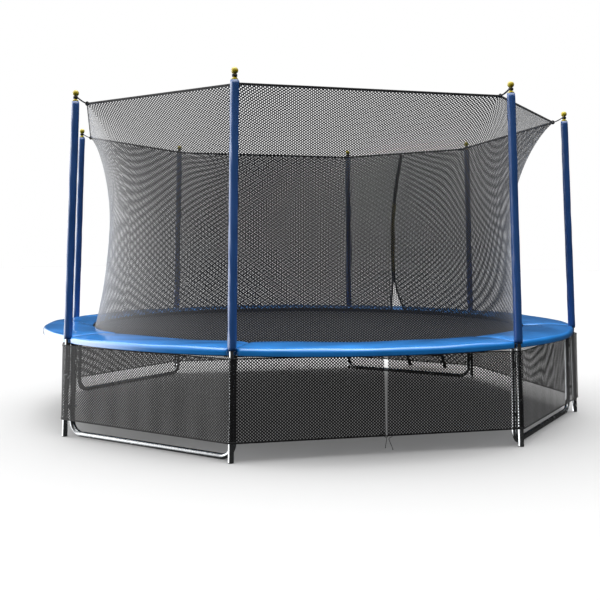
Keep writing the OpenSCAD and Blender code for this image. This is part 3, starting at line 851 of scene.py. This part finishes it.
class TRAMPOLINE_OT_drawcord(bpy.types.Operator):
    """Ties the skirt's drawcord: a knot and the two halves of a bow"""

    bl_idname = "trampoline.drawcord"
    bl_label = "Drawcord"

    def execute(self, context):
        turn = Matrix.Rotation(math.pi / 4, 4, "Z")

        def placed(point):
            x, y, z = (c / 1000 for c in point)
            return turn @ Vector((x + SLIT_AT, -SLIT_FACE - y, z))

        for side, route in (("left", BOW_LEFT_ROUTE), ("right", BOW_RIGHT_ROUTE)):
            line = smooth_path([placed(p) for p in route], 6)
            radius = sizes().cord_diameter / 2
            profile = round_bar(radius, 10)
            half = swept(f"bow_half_{side}", line, profile, braided_cord(), up=(0.70711, -0.70711, 0))
            tip = self.knot(f"bow_end_{side}", line[-1], 0.0042, Vector((0, 0, 1)))
            for piece in (half, tip):
                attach(piece, "frame")
            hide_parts(f"bow_{side}")
        knot = self.knot("skirt_bow_knot", placed((0, 8.3, 126)), 0.0078, Vector((0.70711, 0.70711, 0)))
        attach(knot, "frame")
        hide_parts("skirt_knot")
        return {"FINISHED"}

    def knot(self, name, centre, size, axis):
        """A small overhand knot: a ball of crossing strands."""
        quat = axis.to_track_quat("Z", "Y")
        line = []
        for s in range(48):
            t = 2 * math.pi * s / 48
            flat = (math.sin(t) + 2 * math.sin(2 * t), math.cos(t) - 2 * math.cos(2 * t), -math.sin(3 * t))
            line.append(np.array(Vector(centre) + (quat @ Vector(flat)) * size * 0.24))
        up = tuple(quat @ Vector((0.05, 0.02, 1)))
        return swept(name, line, round_bar(size * 0.30, 8), braided_cord(), closed=True, up=up)


class TRAMPOLINE_OT_frame_finish(bpy.types.Operator):
    """Gives the frame, the caps, the bolts and the ladder their finishes"""

    bl_idname = "trampoline.frame_finish"
    bl_label = "Frame Finish"

    def execute(self, context):
        tubes = ["t_sockets", "lower_poles", "upper_poles"]
        tubes += [f"top_rail_{i}" for i in range(1, 9)]
        tubes += [f"leg_{i}" for i in range(1, 5)]
        by_finish = (
            (galvanised_tube(), tubes),
            (moulded_cap_plastic(), ["pole_caps"]),
            (moulded_black_plastic(), ["pole_spacers", "pole_feet", "zip_slider"]),
            (zinc_wire(), ["clamp_bolts", "ladder_bolts"]),
            (black_powder_coat(), ["ladder_rail_left", "ladder_rail_right"]),
            (moulded_rubber(), ["ladder_feet"]),
        )
        for finish, names in by_finish:
            for node in (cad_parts[name] for name in names):
                for one in node.material_slots:
                    one.material = finish
                if not len(node.material_slots):
                    node.data.materials.append(finish)
        return {"FINISHED"}


class TRAMPOLINE_OT_mat(bpy.types.Operator):
    """Makes the jumping mat, its sewn binding and the rings on its edge"""

    bl_idname = "trampoline.mat"
    bl_label = "Mat"

    def execute(self, context):
        rings, around = 26, 144
        vertices = [(0, 0, MAT_TOP - 0.004)]
        for k in range(1, rings + 1):
            r = MAT_R * k / rings
            sag = 0.004 * (1 - (k / rings) ** 2)
            vertices += [on_circle(r, a, MAT_TOP - 0.0002 - sag) for a in circle_angles(around)]
        faces = [(0, 1 + j, 1 + (j + 1) % around) for j in range(around)]
        faces += grid_faces(rings, around, around=True, first=1, flip=True)
        mat = mesh_object("mat_cloth", vertices, faces, woven_mat())
        if mat.data.polygons[0].normal.z < 0:
            mat.data.flip_normals()
        wall = mat.modifiers.new("thickness", "SOLIDIFY")
        wall.thickness, wall.offset = 0.0016, -1
        applied(mat)
        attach(mat, "mat")
        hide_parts("jumping_mat")

        path = [on_circle(MAT_R - 0.014, a, MAT_TOP + 0.0012) for a in circle_angles(192)]
        profile = rounded(0.040, 0.0022, 0.0009, 2)
        binding = swept("mat_binding_tape", path, profile, black_webbing(), closed=True)
        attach(binding, "mat")
        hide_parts("mat_binding")

        rings_piece = self.v_rings()
        tabs = self.tabs()
        for piece in (rings_piece, tabs):
            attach(piece, "mat")
        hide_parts("v_rings")
        return {"FINISHED"}

    def v_rings(self):
        """Triangles of wire, sewn to the mat by their broad side."""
        corners = [(-0.017, 0.010), (0.017, 0.010), (0.0, -0.022)]
        line = []
        for k in range(3):
            here, after, before = (np.array(corners[j % 3]) for j in (k, k + 1, k - 1))
            for t in (0.85, 0.95):
                line.append(before + (here - before) * t)
            for t in (0.05, 0.15):
                line.append(here + (after - here) * t)
        path = [(x, y, 0.0) for x, y in line]
        source = swept("v_ring_shape", path, round_bar(0.002, 6), zinc_wire(), closed=True)
        turns = all_spring_angles()
        points = [on_circle(MAT_R + 0.021, a, RING_Z) for a in turns]
        return copied("v_ring_wires", source, points, turns, zinc_wire())

    def tabs(self):
        """Folded webbing tabs that hold the rings."""
        profile = rounded(0.024, 0.0016, 0.0006, 1)
        folded = (
            (0.030, -0.0012), (0.006, -0.0012), (-0.004, -0.0030), (-0.012, -0.0030), (-0.0155, 0.0),
            (-0.012, 0.0036), (-0.004, 0.0036), (0.008, 0.0036), (0.026, 0.0036),
        )
        source = swept("tab_shape", [(0, y, z) for y, z in folded], profile, black_webbing())
        turns = all_spring_angles()
        points = [on_circle(MAT_R + 0.002, a, RING_Z) for a in turns]
        return copied("v_ring_tabs", source, points, turns, black_webbing())


class TRAMPOLINE_OT_springs(bpy.types.Operator):
    """Winds the springs, a few to a piece"""

    bl_idname = "trampoline.springs"
    bl_label = "Springs"

    def execute(self, context):
        groups = []
        for i in range(8):
            angles = spring_angles(i)
            shares = (3, 2, 2, 3) if len(angles) == 10 else (3, 3, 2, 3, 3)
            for share in shares:
                groups.append(angles[:share])
                angles = angles[share:]
        wire = sizes().spring_wire / 2
        spring = {
            "Coil Radius": COIL_RADIUS - wire, "Coil Length": COIL_LENGTH, "Turns": float(sizes().spring_turns),
            "Wire Radius": wire, "Inner Hook": INNER_HOOK, "Outer Hook": OUTER_HOOK, "Material": zinc_wire(),
        }
        for k, angles in enumerate(groups):
            points = [on_circle(COIL_FROM_R, a, RING_Z) for a in angles]
            piece = points_object(f"springs_{k + 1:02d}", points, angles)
            with_tree(piece, spring_tree(), spring)
            piece.data.polygons.foreach_set("use_smooth", [True] * len(piece.data.polygons))
            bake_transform(piece)
            if k == 0:
                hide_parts("springs")
        return {"FINISHED"}


class TRAMPOLINE_OT_pad(bpy.types.Operator):
    """Makes the padded cover over the springs, one section between each pair of poles"""

    bl_idname = "trampoline.pad"
    bl_label = "Pad"

    def execute(self, context):
        for i in range(8):
            piece = self.section(i)
            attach(piece, "frame")
            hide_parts(f"pad_{i + 1}")
        return {"FINISHED"}

    def outline(self, swell, tuck):
        """The section through the pad, from the inner edge over the top to the flap, and back underneath."""
        crown = sizes().pad_crown * swell
        top, low, under = PAD_TOP - 0.008 - tuck * 0.010, PAD_LOW, PAD_TOP - 0.024
        inner, outer = PAD_INNER + 0.002, PAD_OUTER - 0.001
        points = [(inner + 0.010, under)]
        for s in range(5):
            a = math.radians(270 - 180 * s / 4)
            rise = 0.5 * (top - under) * math.sin(a)
            points.append((inner + 0.007 + 0.007 * math.cos(a), (under + top) / 2 + rise))
        width = outer - 0.026 - (inner + 0.02)
        for s in range(1, 17):
            t = s / 16
            bulge = math.sin(math.pi * min(1.0, t * 1.02)) ** 0.55 if 0 < t < 0.98 else 0.0
            points.append((inner + 0.012 + width * t, top + crown * bulge))
        for s in range(1, 8):
            a = math.radians(90 - 100 * s / 7)
            points.append((outer - 0.024 + 0.023 * math.cos(a), top - 0.026 + 0.026 * math.sin(a)))
        points += [
            (outer - 0.002, (top + low) / 2 - 0.008), (outer - 0.003, low + 0.004), (outer - 0.005, low + 0.0005),
            (outer - 0.009, low + 0.004), (outer - 0.010, under - 0.006), (outer - 0.020, under),
        ]
        for s in range(1, 8):
            points.append((outer - 0.020 + (inner + 0.015 - outer + 0.020) * s / 8, under))
        return points

    def section(self, i):
        start, end = pole_angle(i) + math.radians(0.03), pole_angle(i + 1) - math.radians(0.03)
        rng = np.random.default_rng(40 + i)
        steps = 72 if i % 2 == 0 else 96
        phases = rng.uniform(0, 2 * math.pi, 6)
        vertices, uv, per = [], [], 0
        for k in range(steps + 1):
            t = k / steps
            # Columns crowd towards the sewn ends, where the vinyl is drawn in.
            t = t - 0.06 * math.sin(2 * math.pi * t)
            a = start + (end - start) * t
            near = min(t, 1 - t) * (end - start) * POLE_R
            swell = 1 - math.exp(-near / 0.05)
            tuck = math.exp(-near / 0.030)
            outline = self.outline(swell, tuck)
            per = len(outline)
            run = 0.0
            for j, (r, z) in enumerate(outline):
                if j:
                    run += math.dist(outline[j], outline[j - 1])
                ripple = 0.0
                if z > PAD_TOP - 0.016:
                    waves = (math.sin((7 + 5 * m) * a + phases[m] + (r - 2.1) * (9 + 4 * m)) for m in range(5))
                    ripple = 0.0011 * sum(waves) * swell
                    ripple += 0.0016 * math.sin(46 * (r - PAD_INNER)) * math.exp(-near / 0.09)
                shrink = 0.010 * tuck if r > 2.29 else 0.0
                notch = 0.0
                if r > 2.27 and near < POLE_CUT:
                    # The pad is cut round the pole.
                    notch = max(0.0, r - (POLE_R - math.sqrt(max(POLE_CUT**2 - near**2, 0.0))))
                vertices.append(on_circle(r - shrink - notch, a, min(z + ripple, PAD_TOP + 0.004)))
                uv.append((a * 2.1, run))
        faces = [face[::-1] for face in grid_faces(steps + 1, per, around=True)]
        faces.append(tuple(range(per)))
        faces.append(tuple(range(steps * per, (steps + 1) * per))[::-1])
        piece = mesh_object(f"pad_section_{i + 1}", vertices, faces, pad_cover_vinyl(), uv)
        face_outwards(piece)
        soften = piece.modifiers.new("soften", "SUBSURF")
        soften.levels = soften.render_levels = 1
        return applied(piece)


class TRAMPOLINE_OT_sleeves(bpy.types.Operator):
    """Makes the foam sleeves on the poles"""

    bl_idname = "trampoline.sleeves"
    bl_label = "Sleeves"

    def execute(self, context):
        for i in range(8):
            rng = np.random.default_rng(7 + i)
            phases = rng.uniform(0, 2 * math.pi, 8)
            around, rows = 40, 72
            vertices, uv = [], []
            for k in range(rows + 1):
                t = k / rows
                z = SLEEVE_LOW + (SLEEVE_HIGH - SLEEVE_LOW) * t
                ends = min(z - SLEEVE_LOW, SLEEVE_HIGH - z)
                pinch = 0.0022 * math.exp(-ends / 0.006)
                for a in circle_angles(around):
                    off_seam = math.atan2(math.sin(a - 2.2), math.cos(a - 2.2))
                    seam = 0.0022 * math.exp(-((off_seam / 0.10) ** 2))
                    lump = 0.00035 * sum(math.sin(9 * m * t + m * a + phases[m]) for m in range(1, 7))
                    r = SLEEVE_RADIUS - pinch + lump - seam
                    vertices.append((r * math.cos(a), r * math.sin(a), z))
                    uv.append((a * 0.03, z))
            for z in (SLEEVE_HIGH + 0.0004, SLEEVE_LOW - 0.0004):
                for a in circle_angles(around):
                    vertices.append((SLEEVE_BORE * math.cos(a), SLEEVE_BORE * math.sin(a), z))
                    uv.append((a * 0.03, z))
            faces = grid_faces(rows + 1, around, around=True)
            top, inner_top, inner_low = rows * around, (rows + 1) * around, (rows + 2) * around
            for j in range(around):
                n = (j + 1) % around
                faces.append((top + j, top + n, inner_top + n, inner_top + j))
                faces.append((inner_top + j, inner_top + n, inner_low + n, inner_low + j))
                faces.append((inner_low + j, inner_low + n, n, j))
            piece = mesh_object(f"pole_sleeve_{i + 1}", vertices, faces, sleeve_cover_vinyl(), uv)
            piece.data.transform(at_pole(i))
            face_outwards(piece)
            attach(piece, "frame")
            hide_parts(f"foam_sleeve_{i + 1}")
        return {"FINISHED"}


class TRAMPOLINE_OT_net(bpy.types.Operator):
    """Hangs the safety net in eight panels, with its hems"""

    bl_idname = "trampoline.net"
    bl_label = "Safety Net"

    def execute(self, context):
        panels = [self.panel(i) for i in range(8)]
        hem = self.top_hem()
        foot = self.foot_hem()
        for k, piece in enumerate(panels):
            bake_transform(piece)
            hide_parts(f"net_panel_{k + 1}")
        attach(hem, "frame")
        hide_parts("net_top_hem")
        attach(foot, "mat")
        return {"FINISHED"}

    def columns(self, i, z):
        """Angles of a panel's columns at height z. The door's panel is in two halves."""
        start, end = pole_angle(i), pole_angle(i + 1)
        count = 26 if i % 2 == 0 else 34
        if i != 4:
            return [[start + (end - start) * j / count for j in range(count + 1)]]
        r = NET.radius(math.pi, z)
        left = math.pi + math.asin(-door_x(-1, z) / r)
        right = math.pi - math.asin(door_x(1, z) / r)
        half = count // 2
        return [
            [start + (right - start) * j / half for j in range(half + 1)],
            [left + (end - left) * j / half for j in range(half + 1)],
        ]

    def panel(self, i):
        rows = 56
        heights = [NET_FOOT + (NET_TOP - NET_FOOT) * k / rows for k in range(rows + 1)]
        vertices, uv, faces = [], [], []
        for half in range(2 if i == 4 else 1):
            first = len(vertices)
            for z in heights:
                angles = self.columns(i, z)[half]
                pull = (z - NET_FOOT) / (NET_TOP - NET_FOOT)
                for a in angles:
                    r = NET.radius(a, z)
                    near = min(abs(a - pole_angle(i)), abs(a - pole_angle(i + 1))) * 2.0
                    crease = 0.0040 * math.sin(near * 70) * math.exp(-near / 0.22) * pull**3 * (1 - pull**12)
                    vertices.append(on_circle(r + crease, a, z))
                    uv.append((a * 1.9, z))
            faces += grid_faces(len(heights), len(angles), first=first)
        return mesh_object(f"net_cloth_{i + 1}", vertices, faces, knitted_net(), uv)

    def corner_line(self, r, z, step=0.10):
        """Points along the octagon, with its corners a little rounded."""
        corners = [on_circle(r, pole_angle(i), z) for i in range(8)]
        line = []
        for i in range(8):
            here, after, before = corners[i], corners[(i + 1) % 8], corners[i - 1]
            back = (before - here) / np.linalg.norm(before - here)
            ahead = (after - here) / np.linalg.norm(after - here)
            p, q = here + back * 0.02, here + ahead * 0.02
            for t in (0.0, 0.35, 0.65, 1.0):
                line.append((1 - t) ** 2 * p + 2 * t * (1 - t) * here + t * t * q)
            far = after - ahead * 0.02
            count = max(2, int(np.linalg.norm(far - q) / step))
            for s in range(1, count):
                line.append(q + (far - q) * s / count)
        return line

    def top_hem(self):
        middle = (HEM_LOW + HEM_HIGH) / 2 - 0.001
        line = self.corner_line(NET_CORNER_R + 0.001, middle)
        profile = rounded(0.0075, 0.017, 0.0034, 3)
        return swept("net_hem_top", line, profile, black_webbing(), closed=True)

    def foot_hem(self):
        path = [on_circle(NET_FOOT_R + 0.0005, a, NET_FOOT + 0.012) for a in circle_angles(240)]
        profile = rounded(0.004, 0.026, 0.0015, 2)
        return swept("net_hem_foot", path, profile, black_webbing(), closed=True)


class TRAMPOLINE_OT_door(bpy.types.Operator):
    """Sews the zip into the net, with its tapes and teeth"""

    bl_idname = "trampoline.door"
    bl_label = "Zip Door"

    def execute(self, context):
        tapes = [self.tape(side) for side in (-1, 1)]
        teeth = self.teeth()
        for piece in tapes + [teeth]:
            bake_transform(piece)
        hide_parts("zip_tapes")
        return {"FINISHED"}

    def edge(self, side, z, out):
        r = NET.radius(math.pi, z) + out
        x = door_x(side, z)
        return np.array([x, math.sqrt(r * r - x * x), z])

    def tape(self, side):
        """One tape of the zip, black at the top and the foot and coloured between."""
        width, thick = 0.021, 0.0016
        heights = [*np.arange(NET_FOOT + 0.004, DOOR_APEX, 0.012), *np.arange(DOOR_APEX, NET_TOP - 0.001, 0.020)]
        vertices, uv = [], []
        for z in heights:
            outer = self.edge(side, z, 0.0045)
            lip = outer + np.array([side * 0.0008, 0, 0])
            far = outer + np.array([side * width, 0, 0])
            r_far = NET.radius(math.pi - far[0] / 1.85, z) + 0.0045
            far[1] = math.sqrt(r_far**2 - far[0] ** 2)
            for point in (lip, far, far - np.array([0, thick, 0]), lip - np.array([0, thick, 0])):
                vertices.append(point)
                uv.append((point[0], z))
        faces = grid_faces(len(heights), 4, around=True)
        last = 4 * (len(heights) - 1)
        faces += [(0, 3, 2, 1), (last, last + 1, last + 2, last + 3)]
        name = "zip_tape_left" if side < 0 else "zip_tape_right"
        piece = mesh_object(name, vertices, faces, [black_webbing(), yellow_zip_tape()], uv, smooth=False)
        face_outwards(piece)
        for p in piece.data.polygons:
            p.material_index = 1 if YELLOW_TAPE_FROM < p.center.z < BLACK_TAPE_FROM else 0
        return piece

    def teeth(self):
        """Small moulded teeth, drawn 8 mm apart."""
        corners = [(x, y, z) for z in (-0.0021, 0.0021) for y in (-0.0013, 0.0013) for x in (-0.0023, 0.0023)]
        faces = [(0, 2, 3, 1), (4, 5, 7, 6), (0, 1, 5, 4), (2, 6, 7, 3), (0, 4, 6, 2), (1, 3, 7, 5)]
        source = mesh_object("tooth_shape", corners, faces, moulded_black_plastic(), smooth=False)
        points = [
            self.edge(side, z, 0.0065)
            for z in np.arange(NET_FOOT + 0.02, NET_TOP - 0.01, 0.008)
            for side in ((-1, 1) if z < DOOR_APEX else (1,))
        ]
        return copied("zip_teeth", source, points, [math.pi] * len(points), moulded_black_plastic())


class TRAMPOLINE_OT_straps(bpy.types.Operator):
    """Ties the net's corners to the necks of the pole caps"""

    bl_idname = "trampoline.straps"
    bl_label = "Straps"

    def execute(self, context):
        parts = []
        for i in range(8):
            place = at_pole(i)
            loop = [
                place @ Vector((0.0145 * math.cos(a), 0.0145 * math.sin(a), LOOP_Z)) for a in circle_angles(20)
            ]
            start = place @ Vector((0.0, 0.0175, LOOP_Z))
            corner = Vector(on_circle(NET_CORNER_R + 0.004, pole_angle(i), (HEM_LOW + HEM_HIGH) / 2))
            across = Vector(on_circle(1, pole_angle(i) + math.pi / 2))
            sags = [(s / 8, -0.004 * math.sin(math.pi * s / 8)) for s in range(9)]
            strap = [start.lerp(corner, t) + Vector((0, 0, sag)) for t, sag in sags]
            eye = [
                corner + Vector(on_circle(0.010 * math.cos(a) - 0.004, pole_angle(i), 0.011 * math.sin(a)))
                for a in circle_angles(14)
            ]
            along_pole = place.to_3x3() @ Vector((0, 0, 1))
            off_strap = (corner - start).cross(across).normalized()
            for name, path, profile, closed, up in (
                ("loop", loop, rounded(0.0075, 0.017, 0.0025, 2), True, along_pole),
                ("strap", strap, rounded(0.015, 0.0075, 0.002, 2), False, off_strap),
                ("eye", eye, rounded(0.014, 0.0050, 0.0015, 2), True, across),
            ):
                parts.append(swept(f"{name}_part_{i}", path, profile, black_webbing(), closed, tuple(up)))
        piece = joined("corner_straps", parts, black_webbing())
        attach(piece, "frame")
        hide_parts("cap_straps")
        return {"FINISHED"}


class TRAMPOLINE_OT_skirt(bpy.types.Operator):
    """Hangs the mesh skirt round the legs in eight panels, with its hems"""

    bl_idname = "trampoline.skirt"
    bl_label = "Skirt"

    def execute(self, context):
        for i in range(8):
            panel = self.panel(i)
            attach(panel, "frame")
            if i == 0:
                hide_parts("skirt")
        low = self.hem("skirt_hem_low", SKIRT_LOW + 0.006, 0.0030, 0.012)
        high = self.hem("skirt_hem_top", SKIRT_HIGH - 0.004, 0.0032, 0.008)
        for piece in (low, high):
            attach(piece, "frame")
        return {"FINISHED"}

    def line(self, i):
        """Points along one side: half of the bend at its first pole, the flat, and half of the bend at the next."""
        centre, after = on_circle(POLE_R, pole_angle(i)), on_circle(POLE_R, pole_angle(i + 1))
        normal = math.radians(45 * i)
        points = []
        for s in range(5):
            a = normal - math.radians(22.5) * (1 - s / 4)
            points.append(centre + on_circle(SKIRT_OUT, a))
        out = on_circle(SKIRT_OUT, normal)
        count = 40 if i % 2 else 30
        for s in range(1, count):
            points.append(centre + out + (after - centre) * s / count)
        for s in range(5):
            a = normal + math.radians(22.5) * s / 4
            points.append(after + on_circle(SKIRT_OUT, a))
        return points

    def panel(self, i):
        flat = self.line(i)
        rows = 14
        normal = on_circle(1.0, math.radians(45 * i))
        runs = np.concatenate([[0], np.cumsum([np.linalg.norm(b - a) for a, b in zip(flat, flat[1:])])])
        total = runs[-1]
        slit_run = None
        if i == 1:
            slit_run = float(np.interp(SLIT_AT, [np.dot(p, ALONG_SLIT_SIDE) for p in flat], runs))
        vertices, uv, faces = [], [], []

        def point_at(run):
            return np.array([np.interp(run, runs, [p[c] for p in flat]) for c in range(3)])

        halves = [(0.0, None), (None, total)] if slit_run is not None else [(0.0, total)]
        for start, end in halves:
            first = len(vertices)
            count = len(flat) // len(halves) + 1
            for k in range(rows + 1):
                t = k / rows
                z = SKIRT_LOW + (SKIRT_HIGH - SKIRT_LOW) * t
                opening = (0.010 + 0.018 * t) / 2
                lo = slit_run + opening if start is None else start
                hi = slit_run - opening if end is None else end
                for j in range(count):
                    run = lo + (hi - lo) * j / (count - 1)
                    p = point_at(run)
                    fade = min(1.0, min(run, total - run) / 0.2)
                    wave = 0.0030 * math.sin(run * 9 + i) * math.sin(math.pi * t) * fade
                    wave += 0.0022 * math.sin(run * 31 + 2 * i) * (1 - t) * fade
                    p = p + normal * wave
                    vertices.append((p[0], p[1], z))
                    uv.append((run, z))
            faces += grid_faces(rows + 1, count, first=first)
        return mesh_object(f"skirt_panel_{i + 1}", vertices, faces, knitted_skirt(), uv)

    def hem(self, name, z, thick, high):
        line = [np.array([p[0], p[1], z]) for i in range(8) for p in self.line(i)[:-1]]
        if name == "skirt_hem_low":
            # The lower hem ends at the slit, where the drawcord ties it.
            start = len(self.line(0)) - 1
            cut = next(k for k, p in enumerate(self.line(1)) if np.dot(p, ALONG_SLIT_SIDE) > SLIT_AT + 0.004)
            right = np.array([*self.at_slit(0.006)[:2], z])
            left = np.array([*self.at_slit(-0.006)[:2], z])
            line = [right] + line[start + cut :] + line[: start + cut] + [left]
        closed = name != "skirt_hem_low"
        return swept(name, line, rounded(thick, high, 0.0012, 2), black_webbing(), closed=closed)

    def at_slit(self, x):
        turn = Matrix.Rotation(math.pi / 4, 4, "Z")
        return np.array(turn @ Vector((SLIT_AT + x, -SLIT_FACE + 0.001, 0)))


class TRAMPOLINE_OT_treads(bpy.types.Operator):
    """Makes the ladder's ribbed treads"""

    bl_idname = "trampoline.treads"
    bl_label = "Treads"

    def execute(self, context):
        low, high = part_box("ladder_treads")
        count, ribs = 3, 9
        step = ((high[2] - low[2]) - TREAD_THICK) / (count - 1)
        lean = ((high[1] - low[1]) - TREAD_DEPTH) / (count - 1)
        half = TREAD_DEPTH / 2
        profile = [(-half, -TREAD_THICK / 2), (half, -TREAD_THICK / 2)]
        for s in range(ribs):
            y = half - TREAD_DEPTH * s / ribs
            profile += [(y, 0.0095), (y - 0.0015, 0.0118), (y - 0.0065, 0.0118), (y - 0.008, 0.0095)]
        parts = []
        for k in range(count):
            z = low[2] + TREAD_THICK / 2 + k * step
            y = high[1] - half - k * lean
            ends = (low[0] + 0.001, low[0] + 0.004, 0, high[0] - 0.004, high[0] - 0.001)
            parts.append(swept(f"tread_part_{k}", [(x, y, z) for x in ends], profile, moulded_black_plastic()))
        piece = joined("ribbed_treads", parts, moulded_black_plastic())
        piece.data.polygons.foreach_set("use_smooth", [False] * len(piece.data.polygons))
        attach(piece, "ladder")
        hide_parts("ladder_treads")
        return {"FINISHED"}


class TRAMPOLINE_PT_panel(bpy.types.Panel):
    """Lists the trampoline's sizes, colours and pieces"""

    bl_idname = "TRAMPOLINE_PT_panel"
    bl_label = "Trampoline"
    bl_space_type = "VIEW_3D"
    bl_region_type = "UI"
    bl_category = "Trampoline"

    def draw(self, context):
        layout = self.layout
        for group in (context.scene.trampoline_sizes, context.scene.trampoline_colours):
            box = layout.box()
            for name in group.bl_rna.properties.keys():
                if name not in ("rna_type", "name"):
                    box.prop(group, name)
        for operator in OPERATORS:
            layout.operator(operator.bl_idname)


OPERATORS = (
    TRAMPOLINE_OT_stage,
    TRAMPOLINE_OT_drawcord,
    TRAMPOLINE_OT_frame_finish,
    TRAMPOLINE_OT_mat,
    TRAMPOLINE_OT_springs,
    TRAMPOLINE_OT_pad,
    TRAMPOLINE_OT_sleeves,
    TRAMPOLINE_OT_net,
    TRAMPOLINE_OT_door,
    TRAMPOLINE_OT_straps,
    TRAMPOLINE_OT_skirt,
    TRAMPOLINE_OT_treads,
)
CLASSES = (TrampolineSizes, TrampolineColours) + OPERATORS + (TRAMPOLINE_PT_panel,)


def register():
    for one in CLASSES:
        bpy.utils.register_class(one)
    bpy.types.Scene.trampoline_sizes = PointerProperty(type=TrampolineSizes)
    bpy.types.Scene.trampoline_colours = PointerProperty(type=TrampolineColours)


def unregister():
    del bpy.types.Scene.trampoline_colours
    del bpy.types.Scene.trampoline_sizes
    for one in reversed(CLASSES):
        bpy.utils.unregister_class(one)


def main():
    register()
    bpy.ops.trampoline.stage()
    bpy.ops.trampoline.drawcord()
    bpy.ops.trampoline.frame_finish()
    bpy.ops.trampoline.mat()
    bpy.ops.trampoline.springs()
    bpy.ops.trampoline.pad()
    bpy.ops.trampoline.sleeves()
    bpy.ops.trampoline.net()
    bpy.ops.trampoline.door()
    bpy.ops.trampoline.straps()
    bpy.ops.trampoline.skirt()
    bpy.ops.trampoline.treads()


if __name__ == "__main__":
    main()
